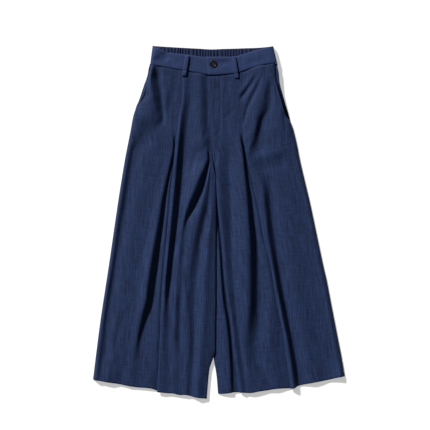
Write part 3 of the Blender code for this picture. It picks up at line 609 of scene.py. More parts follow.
# %% Left front leg
FRONT_LEFT = (
    Line("side", 919, None,
         ((54, -186), (92, -195), (117, -198), (136, -202), (158, -216), (178, -230), (197, -236),
          (230, -242), (312, -258), (436, -278), (601, -302), (766, -327), (917, -346)),
         ((54, 5.2), (92, 6), (136, 7), (158, 6.5), (178, 4.6), (197, 2.1), (917, 2.1))),
    Line("side_crest", 920, "side",
         ((54, 2), (92, 3.4), (136, 5), (178, 8), (230, 7), (917, 6.5)),
         ((54, 9.5), (92, 11.5), (136, 11.5), (178, 10.5), (230, 9.5), (285, 8.5), (395, 9),
          (532, 8), (807, 8), (917, 12))),
    Line("side_dip", 922, "side",
         ((54, 4), (92, 7), (120, 13), (147, 27), (175, 51), (202, 66), (230, 50), (260, 30),
          (290, 20), (436, 21), (532, 18.5), (752, 18), (807, 21), (917, 19)),
         ((54, 13), (80, 16.5), (147, 17), (175, 15.5), (202, 12.5), (230, 9.5), (260, 6.5),
          (290, 3.8), (436, 3.2), (849, 3.6), (884, 7), (920, 11))),
    Line("outer_face", 926, None,
         ((54, -171), (92, -166), (120, -161), (147, -158), (175, -154.5), (202, -153),
          (230, -167), (285, -192), (395, -217), (532, -245), (642, -264), (752, -280),
          (926, -305)),
         ((54, 8), (92, 3.4), (175, 3.4), (202, 5.5), (230, 8.5), (285, 9), (422, 8.5), (807, 7.5),
          (926, 12))),
    Line("middle_face", 931, None,
         ((54, -151), (147, -147), (202, -144), (230, -147), (285, -149), (312, -152),
          (354, -161), (395, -171), (436, -181), (532, -198), (587, -208), (642, -217),
          (697, -224), (752, -236), (807, -246), (931, -275)),
         ((54, 10.5), (147, 10), (230, 9), (354, 8.5), (532, 10), (697, 9.5), (931, 6))),
    Line("fold_a_crest", 937, None,
         ((54, -137), (120, -135), (189, -133), (246, -127), (257, -125.6), (285, -126.4),
          (312, -131.4), (354, -141.5), (395, -150), (436, -160), (477, -166), (532, -176),
          (587, -186), (642, -195), (697, -201), (752, -215), (807, -226), (934, -245)),
         ((54, 11), (189, 10), (252, 9.5), (312, 10), (395, 11), (436, 13.5), (532, 16.5),
          (587, 19.5), (642, 20), (697, 18), (752, 13), (807, 10.5), (868, 9), (934, 7.5))),
    Line("fold_a_foot", 940, None,
         ((54, -121), (120, -122), (189, -123.4), (246, -124), (257, -124), (285, -123.6),
          (312, -127.3), (354, -135.5), (395, -144.5), (436, -148), (477, -152.5), (532, -161),
          (587, -168), (642, -176), (697, -185), (752, -200), (807, -214), (937, -225)),
         ((54, 10), (189, 9), (246, 8.6), (263, 5.4), (285, 3.8), (312, 3.4), (752, 3), (821, 4),
          (876, 6), (937, 6))),
    Line("strip", 943.5, None,
         ((54, -110), (120, -112), (189, -117.8), (246, -121.5), (257, -121.8), (271, -121.9),
          (285, -121.7), (312, -125), (354, -131), (395, -137), (436, -141), (477, -145),
          (532, -149.5), (587, -155), (642, -160), (697, -164), (807, -169), (862, -174),
          (945, -187)),
         ((54, 10), (246, 8.6), (271, 5), (312, 4), (395, 5.5), (532, 6.5), (697, 7), (862, 6.8),
          (945, 6.4))),
    Line("fold_b", 953, None,
         ((84, -99), (147, -102), (189, -109), (271, -119), (354, -127), (400, -133), (436, -136),
          (513, -142), (615, -152), (697, -158), (813, -162), (953, -169)),
         ((54, 10.5), (189, 10), (252, 9), (312, 8.5), (532, 8.6), (780, 8.6), (953, 7.8))),
    Line("fold_b_crest", 954, None,
         ((84, -94), (147, -97), (189, -104), (271, -113), (354, -120), (400, -125), (436, -128),
          (513, -135), (615, -144), (697, -150), (813, -154), (953, -158)),
         ((54, 11), (147, 12.5), (252, 15), (312, 17), (532, 17.5), (697, 14), (807, 11),
          (953, 10))),
    Line("fold_b_foot", 956, None,
         ((84, -78), (147, -80), (189, -86), (230, -90), (285, -97), (354, -101), (395, -104),
          (436, -107.5), (477, -113), (532, -121), (587, -131), (642, -137), (697, -138),
          (807, -137), (956, -140)),
         ((54, 10), (120, 9), (175, 6.5), (230, 4.2), (285, 3.2), (395, 3), (532, 3),
          (642, 3.4), (714, 6.5), (807, 7.5), (956, 8))),
    Line("centre_crest", 957, None,
         ((84, -50), (189, -50), (271, -44), (299, -33), (312, -31.4), (326, -37), (340, -43),
          (367, -56), (395, -68), (422, -79), (450, -88), (477, -96), (532, -107), (697, -117),
          (956, -124)),
         ((54, 10), (120, 12), (189, 12.5), (271, 12.5), (312, 12.5), (340, 16.5), (367, 19),
          (422, 19), (450, 17), (477, 14), (532, 11), (697, 10.5), (959, 8.5))),
    Line("crescent_foot", 961, None,
         ((84, -31.5), (202, -31), (257, -28.5), (299, -26.2), (312, -26.4), (326, -28.6),
          (354, -34.5), (395, -44), (422, -57), (450, -72), (477, -86), (532, -95), (697, -104),
          (959, -108)),
         ((54, 8), (92, 5.5), (202, 5.5), (257, 7), (290, 6.6), (302, 4.8), (326, 3), (436, 3),
          (458, 6), (491, 9.5), (532, 10), (697, 8.5), (961, 7.5))),
    Line("crescent_crest", 960.5, None,
         ((84, -27), (202, -27), (271, -25.6), (304, -24), (326, -24.4), (354, -28), (395, -36.5),
          (422, -44), (450, -51), (477, -57), (532, -68), (587, -78), (642, -88), (697, -90),
          (807, -83), (961, -93)),
         ((54, 7), (92, 5.8), (202, 5.8), (271, 6.3), (312, 7), (354, 13), (395, 16),
          (436, 16), (477, 14), (587, 12), (697, 11), (961, 9.5))),
    Line("inner_foot", 964, None,
         ((84, -22), (202, -22), (271, -23.3), (304, -22.4), (329, -22.2), (354, -23.5), (395, -25),
          (436, -28), (477, -36), (532, -48), (587, -55), (642, -61), (697, -66), (807, -67),
          (961, -77)),
         ((54, 6), (271, 5.6), (304, 6.3), (354, 11), (395, 12), (436, 9.5), (477, 5.8),
          (532, 4.8), (697, 4.8), (835, 5.5), (961, 7))),
    Line("inner_crest", 968, None,
         ((84, -18.5), (202, -18), (271, -20.8), (304, -21.4), (329, -20.4), (354, -19.5),
          (395, -20), (436, -20.5), (477, -22), (532, -30), (587, -35), (642, -39), (697, -41),
          (752, -45), (807, -49), (961, -60)),
         ((54, 5.6), (271, 5.1), (304, 6.1), (354, 11), (395, 12.5), (477, 15), (587, 16.5),
          (807, 15), (964, 12))),
    Line("inner_face", 970, None,
         ((84, -15), (202, -14), (271, -18), (304, -20), (329, -18.6), (354, -16), (395, -14.5),
          (477, -15.5), (587, -21), (697, -24), (807, -28), (865, -37), (964, -45)),
         ((54, 5.2), (271, 4.8), (304, 5.8), (354, 10.5), (477, 13.5), (807, 12.5), (964, 9))),
    Line("inner_edge", 971, None,
         ((84, -12), (244, -10), (274, -15.4), (290, -16.6), (304, -18), (312, -17.2), (329, -15.8),
          (367, -9), (477, -8), (840, -10), (865, -18), (890, -26), (964, -33)),
         ((54, 4.8), (257, 4.6), (290, 4.6), (307, 5.4), (340, 9.4), (422, 10), (835, 9),
          (865, 6.5), (964, 6))),
    Line("inner_return", 970, None,
         ((84, -9), (244, -7), (274, -13), (290, -15.4), (304, -20.4), (316, -22.4), (329, -23.6),
          (354, -24), (840, -24), (865, -25), (890, -30), (964, -36)),
         ((54, 4.7), (257, 4.5), (290, 3.6), (307, 2.4), (340, 2.2), (964, 2.2))),
)
LEFT_CREASES = (
    Crease("hip hollow", 34, -2.6, ((-206, 196), (-196, 240), (-192, 290))),
    Crease("hip cross crease", 26, 0.9, ((-214, 301), (-180, 322), (-150, 330))),
    Crease("small tick", 7, -0.8, ((-46, 232), (-38, 244), (-33, 252))),
    Crease("second tick", 6, -0.6, ((-29, 229), (-37, 244), (-42, 249))),
    Crease("yoke ridge", 18, 0.8, ((-112, 84), (-114, 130), (-120, 165))),
    Crease("yoke trough", 20, -2.0, ((-124, 96), (-130, 147), (-138, 180), (-141, 215),
                                     (-144, 250))),
    Crease("second yoke trough", 9, -0.8, ((-112, 185), (-115, 202), (-118, 225))),
    Crease("crotch pull", 14, -0.9, ((-20, 262), (-44, 285), (-66, 300))),
    Crease("thigh pull", 20, 0.9, ((-62, 240), (-70, 280), (-92, 340))),
    Crease("knee trough", 15, -1.3, ((-84, 455), (-92, 540), (-100, 620))),
    Crease("calf trough", 10, -1.1, ((-88, 600), (-87, 642), (-87, 690))),
    Crease("shin ridge", 16, 1.1, ((-118, 640), (-123, 740), (-128, 840))),
    Crease("shin trough", 15, -2.4, ((-104, 660), (-109, 760), (-106, 850))),
    Crease("thigh crease", 10, -1.4, ((-70, 270), (-67, 312), (-78, 360))),
    Crease("hem dent", 30, -1.1, ((-290, 860), (-302, 890), (-312, 905))),
    Crease("side ridge", 20, 1.0, ((-268, 700), (-290, 780), (-318, 860))),
    Crease("side trough", 14, -1.3, ((-262, 730), (-279, 807), (-297, 870))),
)

left_rows = tucked(panel_rows(FRONT_LEFT, FRONT_SEAM, LEG_SHARES), FRONT_SEAM)
left_leg = cloth_piece("leg_front_left", crease_rows(left_rows, LEFT_CREASES, 1.5), SUITING,
                       "front_panel_left", grain=len(left_rows[0]) // 2)
print("cloth laid:", round(flat_area(left_rows), 3), "square metres")

# %% Right front leg
FRONT_RIGHT = (
    Line("inner_edge", 958, None,
         ((81, -28), (153, -24), (255, -21), (285, -18.8), (298, -17.2), (308, -15.8), (329, -15.8),
          (840, -16), (860, -14), (909, -6), (956, -2)),
         ((54, 9), (255, 8.5), (285, 7.9), (298, 6.6), (308, 4.6), (329, 2.6), (956, 2.2))),
    Line("under_face", 958, None,
         ((81, -20), (255, -15), (300, -14), (329, -14.7), (395, -12.4), (532, -10),
          (697, -8), (807, -6), (909, 4), (956, 10)),
         ((54, 9.3), (255, 9), (285, 8), (312, 5.5), (340, 4), (532, 5.5), (956, 6))),
    Line("under_crest", 955, None,
         ((81, -11), (255, -9), (300, -12.2), (329, -13.6), (395, -10.5), (477, -5), (560, 1),
          (629, 5), (697, 10.5), (752, 19), (807, 25.5), (862, 29), (956, 33)),
         ((54, 9.4), (255, 9.2), (290, 8.5), (329, 5), (367, 4.4), (477, 5.4), (560, 7.8),
          (629, 9.6), (697, 11), (862, 11.6), (904, 11.6), (956, 9.6))),
    Line("under_foot", 954, None,
         ((81, -4), (255, -6), (300, -10.4), (329, -12.4), (395, -8.7), (477, -3), (560, 4.6),
          (629, 9.4), (697, 15.6), (752, 24), (807, 30.5), (862, 34.5), (956, 41)),
         ((54, 9.4), (255, 9.2), (290, 8), (312, 5.5), (340, 3.2), (477, 3.4), (600, 4.3),
          (956, 4.3))),
    Line("fold_c", 954, None,
         ((81, 4), (255, 0), (300, -5), (329, -8), (384, -7), (453, -2), (532, 7.2), (645, 16),
          (743, 30), (868, 44), (961, 58.4)),
         ((54, 9.5), (285, 8.8), (329, 7.5), (395, 7.5), (697, 8), (961, 6.5))),
    Line("fold_c_crest", 954, None,
         ((81, 12), (255, 7), (300, 1), (329, -3), (384, -2), (453, 3), (532, 12), (645, 21),
          (743, 35), (868, 50), (961, 64)),
         ((54, 9.8), (285, 9.8), (329, 11), (395, 13.5), (477, 14.5), (587, 13.5), (697, 13.5),
          (961, 11))),
    Line("soft_foot", 955, None,
         ((81, 22), (257, 26), (312, 29), (395, 32), (477, 34), (587, 37), (697, 44.5), (807, 57),
          (945, 74)),
         ((54, 9.8), (257, 9.5), (312, 7.5), (395, 5.8), (477, 6), (587, 8), (697, 8.5),
          (959, 8.5))),
    Line("plateau_left", 955, None,
         ((81, 39), (312, 41), (395, 44), (587, 49), (697, 57), (807, 67), (945, 90)),
         ((54, 10), (257, 10.5), (340, 11), (436, 12), (587, 14), (697, 14.5), (807, 13.5),
          (956, 9.5))),
    Line("plateau_right", 951, None,
         ((81, 49), (216, 50), (246, 56), (257, 58.4), (271, 61), (285, 63.4), (312, 66.4),
          (354, 70), (395, 74), (422, 76), (477, 79), (532, 81.5), (697, 82), (780, 78), (862, 90),
          (945, 112)),
         ((54, 10.2), (230, 10.5), (271, 13), (354, 17), (477, 20.8), (532, 22.2), (697, 21.4),
          (752, 19.4), (807, 13.5), (862, 9.8), (950, 9))),
    Line("inner_foot", 948, None,
         ((81, 58), (216, 57), (246, 60), (257, 61), (271, 64.6), (285, 66.8), (312, 70.2),
          (354, 76.5), (395, 84), (436, 89.5), (477, 94), (532, 102.5), (587, 106), (697, 107.5),
          (752, 107), (807, 106), (945, 135)),
         ((54, 10.2), (242, 9.8), (257, 8), (271, 4.8), (312, 3.2), (697, 3), (780, 3.6),
          (835, 6.5), (948, 7))),
    Line("strip", 944, None,
         ((81, 66), (216, 61.6), (246, 62.3), (257, 63.2), (271, 66.4), (285, 69.2), (312, 73.6),
          (354, 80.5), (395, 90), (436, 100), (477, 108), (532, 119), (587, 131), (642, 140),
          (697, 145), (752, 144), (807, 138), (862, 142), (945, 158)),
         ((54, 10), (242, 9.6), (257, 7.6), (271, 5.5), (422, 6), (532, 6.5), (697, 8), (821, 9.6),
          (945, 9.4))),
    Line("fold_d", 943, None,
         ((81, 74), (147, 71), (216, 67), (246, 67.3), (257, 68), (268, 70.3), (279, 72.4),
          (290, 74.2), (312, 78.4), (345, 84.6), (384, 93.4), (425, 104), (556, 129),
          (603, 142), (700, 158.5), (799, 178), (937, 197)),
         ((54, 10.2), (230, 10), (285, 9), (532, 9), (942, 8))),
    Line("fold_d_crest", 942, None,
         ((54, 112), (92, 122), (120, 124), (136, 121), (153, 115), (175, 109), (202, 103),
          (219, 101), (241, 96), (263, 91), (285, 84), (312, 87), (354, 105), (395, 119),
          (436, 124), (477, 128), (532, 134), (587, 145), (642, 154), (697, 164), (752, 175),
          (807, 186), (862, 195), (937, 206)),
         ((54, 18), (92, 18.5), (147, 17.5), (202, 16), (257, 15), (285, 13.5), (312, 11.5),
          (354, 12.5), (395, 16), (477, 18), (587, 18.5), (697, 19.5), (862, 19.5), (942, 16))),
    Line("fold_d_foot", 936, None,
         ((54, 123), (92, 140), (120, 143), (147, 143.5), (175, 137), (202, 121), (219, 116),
          (241, 112.5), (263, 110), (285, 108), (312, 112), (354, 127), (395, 139), (436, 142),
          (477, 147), (532, 153), (587, 161), (642, 170), (697, 180), (752, 190), (807, 202),
          (862, 212), (928, 220)),
         ((54, 17), (92, 17), (120, 13.5), (147, 11), (175, 8.5), (202, 6.5), (230, 5.5),
          (285, 5.5), (307, 7.5), (345, 8), (381, 5), (436, 3.8), (697, 3.2), (937, 3.4))),
    Line("outer_rise", 927, None,
         ((54, 128.5), (92, 145), (120, 151.5), (147, 154), (175, 154), (202, 152), (230, 146),
          (285, 142), (340, 152), (395, 163), (532, 183), (697, 211), (807, 235), (928, 261)),
         ((54, 17), (120, 17), (147, 16), (175, 14.5), (202, 12.5), (230, 11), (285, 10),
          (340, 9), (436, 8.3), (532, 9), (697, 10.5), (807, 11.5), (928, 9.5))),
    Line("outer_face", 919, None,
         ((54, 132), (92, 147.4), (120, 154.4), (147, 160), (194, 166), (230, 171), (285, 179),
          (395, 198), (532, 226), (697, 256), (807, 278), (920, 303)),
         ((54, 16.6), (147, 16.5), (216, 14), (285, 10), (422, 8.3), (532, 7.5), (697, 6.5),
          (920, 6))),
    Line("side_dip", 913, "side",
         ((54, -3.2), (92, -3.4), (120, -4.4), (147, -6.8), (194, -10.4), (230, -18), (532, -20),
          (912, -21)),
         ((54, 17), (175, 16.5), (216, 13), (285, 9), (422, 7.5), (697, 6.5), (821, 7),
          (912, 11))),
    Line("side_crest", 911, "side",
         ((54, -1.6), (92, -1.7), (120, -2.2), (147, -3.4), (194, -4.1), (230, -6.5), (436, -8),
          (532, -10), (912, -11)),
         ((54, 17.2), (175, 16.7), (202, 12.5), (244, 9), (312, 8), (697, 8), (821, 8.5),
          (912, 13))),
    Line("side", 910, None,
         ((54, 137), (94, 153.5), (147, 169.5), (194, 184.5), (205, 193), (216, 200), (271, 215),
          (312, 223), (436, 252), (560, 278.2), (615, 290), (642, 296.4), (697, 307),
          (807, 328.3), (862, 339), (909, 347)),
         ((54, 17.2), (92, 18), (161, 17), (180, 15), (197, 8), (216, 3), (271, 2.1), (909, 2.1))),
)
RIGHT_CREASES = (
    Crease("fly ditch", 5, -1.0, ((3, 82), (4, 150), (6, 215), (5, 222))),
    Crease("fly ridge", 5, 0.9, ((8, 82), (9, 150), (11, 220))),
    Crease("fly turn", 5, -0.8, ((6, 218), (2, 236), (-8, 246), (-18, 250))),
    Crease("fly hollow", 20, -0.7, ((-8, 84), (-6, 150), (-5, 210))),
    Crease("pocket drag", 12, 1.7, ((99, 74), (87, 94), (66, 120), (51, 144))),
    Crease("pocket valley", 10, -3.2, ((108, 72), (97, 92), (80, 120), (66, 138), (52, 158))),
    Crease("second drag", 9, 1.3, ((114, 78), (94, 118), (76, 146), (62, 180))),
    Crease("second valley", 10, -3.6,
           ((122, 70), (114, 92), (104, 118), (90, 147), (78, 175), (71, 205), (68, 226))),
    Crease("hip valley", 11, -1.0, ((137, 104), (134, 140), (134, 172), (136, 205))),
    Crease("side seam ditch", 4.5, -1.3, ((177, 182), (180, 205), (182, 232), (186, 262))),
    Crease("side seam ridge", 6, 0.8, ((187, 196), (190, 215), (197, 250))),
    Crease("lower drag", 13, -0.8, ((50, 160), (32, 186), (10, 205))),
    Crease("hip cross ridge", 30, 1.7, ((78, 320), (118, 305), (162, 292), (196, 280))),
    Crease("hip cross crease", 36, -1.9, ((82, 352), (120, 338), (165, 324), (200, 312))),
    Crease("thigh shadow", 18, -1.0, ((24, 300), (28, 360), (32, 440))),
    Crease("under leg crease", 7, 0.8, ((-4, 749), (10, 750), (24, 748))),
    Crease("lower front dent", 22, -2.4, ((84, 800), (96, 840), (106, 880))),
    Crease("hem dent", 26, -1.2, ((150, 800), (170, 860), (176, 900))),
)

right_rows = tucked(panel_rows(FRONT_RIGHT, FRONT_SEAM, LEG_SHARES), FRONT_SEAM)
right_leg = cloth_piece("leg_front_right", crease_rows(right_rows, RIGHT_CREASES, 7.5),
                        SUITING, "front_panel_right",
                        grain=len(right_rows[0]) // 2)
print("cloth laid:", round(flat_area(right_rows), 3), "square metres")

# %% [markdown]
# ## The two back legs
#
# The backs lie flat on the table, a little inside the fronts' edges. Almost nothing of
# them shows from above, but they are seen at the hems and the sides from a low angle.

# %% Back legs
BACK_LEFT = (
    Line("side", 915, None,
         ((48, -189.5), (60, -193), (79, -196), (92, -200), (106, -205.4), (134, -214.5),
          (153, -221), (169, -228.5), (178, -231), (197, -235),
          (312, -257), (436, -277), (601, -301), (766, -326), (915, -344)), ((0, 0.6),)),
    Line("outer_middle", 932, None, ((58, -130), (312, -175), (932, -245)), ((0, 0.6),)),
    Line("inner_middle", 948, None, ((58, -75), (312, -95), (948, -140)), ((0, 0.6),)),
    Line("inside", 961, None,
         ((58, -19.2), (230, -19.2), (270, -24.5), (330, -25), (360, -22), (840, -22), (865, -25),
          (890, -30), (961, -36)),
         ((0, 0.6),)),
)
BACK_RIGHT = (
    Line("inside", 953, None,
         ((58, -18.7), (230, -18.7), (270, -24), (330, -24.4), (360, -18), (850, -15), (865, -12),
          (909, -4), (953, 1)),
         ((0, 0.6),)),
    Line("inner_middle", 951, None, ((58, 30), (312, 50), (951, 75)), ((0, 0.6),)),
    Line("outer_middle", 938, None, ((58, 85), (312, 130), (938, 200)), ((0, 0.6),)),
    Line("side", 908, None,
         ((48, 156), (79, 163), (106, 167), (134, 176), (161, 184), (186, 192), (205, 197),
          (216, 199.5), (271, 214), (312, 222), (436, 251), (560, 277), (684, 301), (807, 325),
          (908, 345)),
         ((0, 0.6),)),
)
BACK_TOP = ((-179, 0), (-142, 2.5), (-107, 4.6), (-52, 7.6), (-19, 9.4), (10, 8.2), (40, 7.4),
            (85, 5.8), (105, 5.2), (150, 1))
BAND_DEPTH = 48
BACK_SEAM_GAP = 1

back_seam = [(across, down + BAND_DEPTH + BACK_SEAM_GAP) for across, down in BACK_TOP]
for name, node, lines in (("leg_back_left", "back_panel_left", BACK_LEFT),
                          ("leg_back_right", "back_panel_right", BACK_RIGHT)):
    rows = panel_rows(lines, back_seam, even_shares(60))
    cloth_piece(name, rows, SUITING, node, grain=len(rows[0]) // 2)
    print("cloth laid:", round(flat_area(rows), 3), "square metres")

# %% [markdown]
# ## Pocket facings
#
# A slanted pocket opens between the front leg's edge and the side seam. The strip behind
# it is a facing of the same suiting.

# %% Pocket facings
FACING_LEFT = (
    Line("side", 176, None,
         ((60, -187.5), (79, -193), (106, -202), (134, -212), (161, -222), (176, -227)),
         ((0, 2.1),)),
    Line("middle", 178, None,
         ((60, -184), (92, -193), (117, -201), (134, -208.5), (158, -218), (178, -226)),
         ((60, 3.3), (92, 4.1), (117, 6), (140, 6), (161, 4), (176, 2.4))),
    Line("inside", 180, None,
         ((60, -176), (92, -186), (117, -193), (136, -198), (158, -212), (180, -222)),
         ((0, 2.1),)),
)
FACING_RIGHT = (
    Line("inside", 180, None,
         ((60, 126), (94, 143), (147, 158), (180, 168)),
         ((60, 12), (100, 11), (140, 6), (180, 3.6))),
    Line("middle", 180, None,
         ((60, 139), (94, 152), (147, 167), (180, 176)),
         ((60, 15), (94, 14.6), (134, 8), (180, 3.4))),
    Line("top", 180, None,
         ((60, 151.5), (79, 153.5), (94, 156), (106, 160.5), (134, 169.5), (161, 177.5),
          (180, 182.6)),
         ((60, 15), (94, 14.4), (134, 8), (180, 3.2))),
    Line("ditch", 180, None,
         ((60, 156), (79, 157.4), (94, 159.5), (106, 163.4), (134, 172), (161, 179), (180, 183.4)),
         ((60, 10.5), (94, 10.5), (134, 6), (180, 2.9))),
    Line("rim", 180, None,
         ((60, 160.5), (70, 163), (79, 164.4), (94, 165.6), (106, 167.6), (134, 175.5),
          (161, 183.2), (180, 188)),
         ((60, 12.5), (94, 12), (134, 6), (161, 4.4), (180, 3.9))),
    Line("side", 180, None,
         ((60, 159), (79, 163), (94, 164.4), (106, 166.4), (134, 174.6), (161, 182.6),
          (180, 187.6)),
         ((0, 2.1),)),
)
FACING_DROP = 0.4       # how far below the waist seam a facing starts

facing_top = [(across, down + FACING_DROP) for across, down in FRONT_SEAM]
for name, node, lines in (("facing_left", "pocket_facing_left", FACING_LEFT),
                          ("facing_right", "pocket_facing_right", FACING_RIGHT)):
    rows = panel_rows(lines, facing_top, even_shares(40))
    cloth_piece(name, rows, SUITING, node)

# %% [markdown]
# ## Waistband
#
# The front band is interlined and pressed, so it lies smoother than the legs. Its right
# half runs on over its left half and ends in the tab with the buttonhole. The back band
# has elastic inside, which draws it into fine uneven gathers.

# %% Front band in two halves
FRONT_TOP = ((-180, 0), (-140, 19), (-86, 25), (-39, 31), (41, 31), (54, 28), (105, 13),
             (146, 3), (150, 2))
BAND_LEAN = ((-188, 6.8), (-90, 7), (-30, -4.5), (50, -7), (130, -8), (159, -11))
BAND_LEFT = ((-188, 3.5), (-187.6, 7), (-183, 9.4), (-172, 10), (-140, 10), (-100, 9.8),
             (-60, 9.6), (-38, 9.2), (-20, 8.8), (8, 8.8))
BAND_RIGHT = ((-29.5, 11.9), (-10, 11.9), (10, 11.7), (30, 11), (50, 10.6), (80, 12.6),
              (110, 15.2), (135, 16.8), (150, 16.8), (156.5, 15.8), (159.2, 12), (159.6, 3.5))
BAND_CLOTH = 2.0
BAND_SHARES = (0, 0.02, 0.045, 0.08, 0.15, 0.25, 0.35, 0.45, 0.55, 0.65, 0.75, 0.85, 0.92,
               0.955, 0.98, 1)
BAND_EDGE_ROLL = 1.3    # how far the band's edges roll down
BAND_ROLL_WIDTH = 1.6
BAND_FREE = 5           # the level above which the band's edges roll
BAND_CREASES = (
    Crease("tab drag", 17, -2.4, ((-34, 52), (-10, 50), (14, 48), (40, 48))),
    Crease("tab ridge", 8, 0.7, ((2, 60), (16, 58), (32, 57))),
    Crease("left corner ridge", 22, 3.6, ((-177, 6), (-174, 22), (-170, 38))),
    Crease("left corner dent", 24, -3.2, ((-147, 14), (-145, 28), (-139, 42))),
    Crease("left dent", 20, -0.8, ((-140, 30), (-120, 44), (-108, 56))),
    Crease("loop dent", 12, -0.6, ((-76, 30), (-72, 46), (-78, 62))),
    Crease("right ridge", 18, 0.7, ((64, 30), (90, 34), (124, 24))),
    Crease("right dent", 16, -0.7, ((70, 48), (100, 44), (132, 34))),
)


def band_rows(path):
    """A front band's rows, from its upper edge to the waist seam."""
    points = [Vector((x, along(FRONT_SEAM, x), z)) for x, z in path]
    lower = curve_through(points, column_counts([points]))
    upper = []
    for point in lower:
        across = point.x + along(BAND_LEAN, point.x)
        upper.append(Vector((across, along(FRONT_TOP, across), point.z)))
    rows = [[a.lerp(b, share) for a, b in zip(upper, lower)] for share in BAND_SHARES]
    for share, row in zip(BAND_SHARES, rows):
        to_edge = min(share, 1 - share) * BAND_DEPTH
        for point in row:
            if point.z > BAND_FREE:
                point.z -= BAND_EDGE_ROLL * math.exp(-(to_edge / BAND_ROLL_WIDTH) ** 2)
    return rows


bands = []
for name, node, path, seed in (("band_front_left", "front_waistband_left", BAND_LEFT, 3.5),
                               ("band_front_right", "front_waistband_right", BAND_RIGHT, 5.5)):
    rows = crease_rows(band_rows(path), BAND_CREASES, seed)
    bands.append(cloth_piece(name, rows, SUITING_PAINTED_LIGHTER, node, BAND_CLOTH))

# %% Back band, gathered on its elastic
ELASTIC_BAND = 3.0      # cloth, elastic and cloth
GATHERS = 38
GATHER_RISE = 1.6
GATHER_POINTS = 12      # points along one gather
GATHER_WANDER = 0.35    # how far they stray from even spacing, in gathers
END_FLARE = 0.045       # how far the lower corners reach past the upper ones
GATHER_ROWS = 20


def gathered(share, level, first, width):
    """A point of the back band's inside."""
    spread = 1 + END_FLARE * level * abs(2 * share - 1) ** 4
    across = (first + width * share) * spread
    down = along(BACK_TOP, across) + BAND_DEPTH * level
    wander = noise.noise(Vector((across / 14, down / 30, 2.5)))
    fullness = ease(min(share, 1 - share) / 0.16) * (1 - 0.25 * abs(2 * level - 1))
    stray = GATHER_WANDER * (math.sin(9 * math.pi * share) + wander)
    turn = 2 * math.pi * (GATHERS * share + stray)
    uneven = 1 + 0.6 * noise.noise(Vector((across / 9, down / 22, 8.5)))
    rise = GATHER_RISE * fullness * uneven * math.sin(turn + 0.5 * math.sin(turn))
    edge = 0.9 * math.exp(-(level * BAND_DEPTH / 1.5) ** 2)
    level_here = ELASTIC_BAND + 0.4 * fullness + rise - edge
    return Vector((across, down + 0.35 * fullness * math.sin(turn), level_here))


first = BACK_TOP[0][0]
width = BACK_TOP[-1][0] - first
rows = [[gathered(share, level, first, width) for share in even_shares(GATHERS * GATHER_POINTS)]
        for level in even_shares(GATHER_ROWS)]
back_mesh = sheet_mesh("band_back", rows)
body = bmesh.new()
body.from_mesh(back_mesh)
below = bmesh.ops.extrude_face_region(body, geom=body.faces[:])
for item in below["geom"]:
    if isinstance(item, bmesh.types.BMVert):
        item.co.z = 0
bmesh.ops.recalc_face_normals(body, faces=body.faces[:])
body.to_mesh(back_mesh)
body.free()
back_band = piece_of("band_back", back_mesh, SUITING_ELASTIC, "back_waistband")
print("back band with", GATHERS, "gathers")

# %% [markdown]
# ## Belt loops
#
# A belt loop is a folded strip that is stitched down above the band and just below the
# waist seam. It stands a little off the band, which gives it its dark side.

# %% Belt loops
LOOPS = (("belt_loop_left", -86.5, -95.5),
         ("belt_loop_right", 41, 50))     # name, across at the top, at the end
LOOP_TOP = (28, 31)     # down, at the band's upper edge
LOOP_END = (84, 90)     # down, just below the waist seam
LOOP_WIDTH = 11
LOOP_CLOTH = 1.8
LOOP_EASE = 2.2         # how far a loop stands off the band
LOOP_CROWN = 0.35


def surfaces(pieces):
    """The finished surfaces of some pieces, to look for the cloth's height."""
    bpy.context.view_layer.update()
    seen = bpy.context.evaluated_depsgraph_get()
    return [BVHTree.FromObject(piece, seen) for piece in pieces]


def top_of(trees, across, down):
    """Height of the highest cloth at a place, found by looking straight down."""
    above = place((across, down, 200))
    hits = [tree.ray_cast(above, Vector((0, 0, -1)))[0] for tree in trees]
    heights = [hit.z for hit in hits if hit]
    return max(heights) / MM if heights else 0


ground = surfaces([left_leg, right_leg] + bands)
loops = []
for (node, start, end), first_down, last_down in zip(LOOPS, LOOP_TOP, LOOP_END):
    rows = []
    for share in even_shares(30):
        down = blend(first_down, last_down, share)
        middle = blend(start, end, share)
        rest = max(top_of(ground, middle + LOOP_WIDTH * (step - 0.5), down)
                   for step in even_shares(8))
        stand = SEAM_GAP + LOOP_CLOTH / 2 + LOOP_EASE * math.sin(math.pi * share) ** 0.5
        rows.append([Vector((middle + LOOP_WIDTH * (step - 0.5), down,
                             rest + stand + LOOP_CROWN * math.sin(math.pi * step)))
                     for step in even_shares(6)])
    loops.append(cloth_piece(node.replace("belt_", ""), rows, SUITING_PAINTED_LIGHTER, node,
                             LOOP_CLOTH))

# %% [markdown]
# ## The waist button
#
# The button is turned from dark resin that imitates horn: a raised rim, a dished middle
# and four holes. Its outline is spun round its axis and the holes are cut.

# %% Button sizes and resin
BUTTON_ACROSS = -15.2
BUTTON_DOWN = 50.5
BUTTON_DIAMETER = 20
BUTTON_THICKNESS = 3.2
BUTTON_RIM = 2.8
BUTTON_HOLE = 1.9
BUTTON_HOLE_PITCH = 3.6
BUTTON_DISH = 0.9       # how far the middle lies below the rim

# Polished resin is almost black, with a small clear highlight on the rim.
horn, tree, output = new_material("dark horn resin, turned and polished")
where = add_node(tree, "ShaderNodeTexCoord").outputs["Object"]
cloud = add_node(tree, "ShaderNodeTexNoise", {"Scale": 160, "Detail": 3}, {"Vector": where})
tone = add_node(tree, "ShaderNodeMix", {"data_type": "RGBA", 6: linear("#080708"),
                                        7: linear("#15100F")}, {"Factor": cloud.outputs[0]})
resin = add_node(tree, "ShaderNodeBsdfPrincipled",
                 {"Roughness": 0.42, "IOR": 1.5, "Specular IOR Level": 0.25},
                 {"Base Color": tone.outputs[2]})
tree.links.new(resin.outputs[0], output.inputs["Surface"])
print("button", BUTTON_DIAMETER, "mm across")

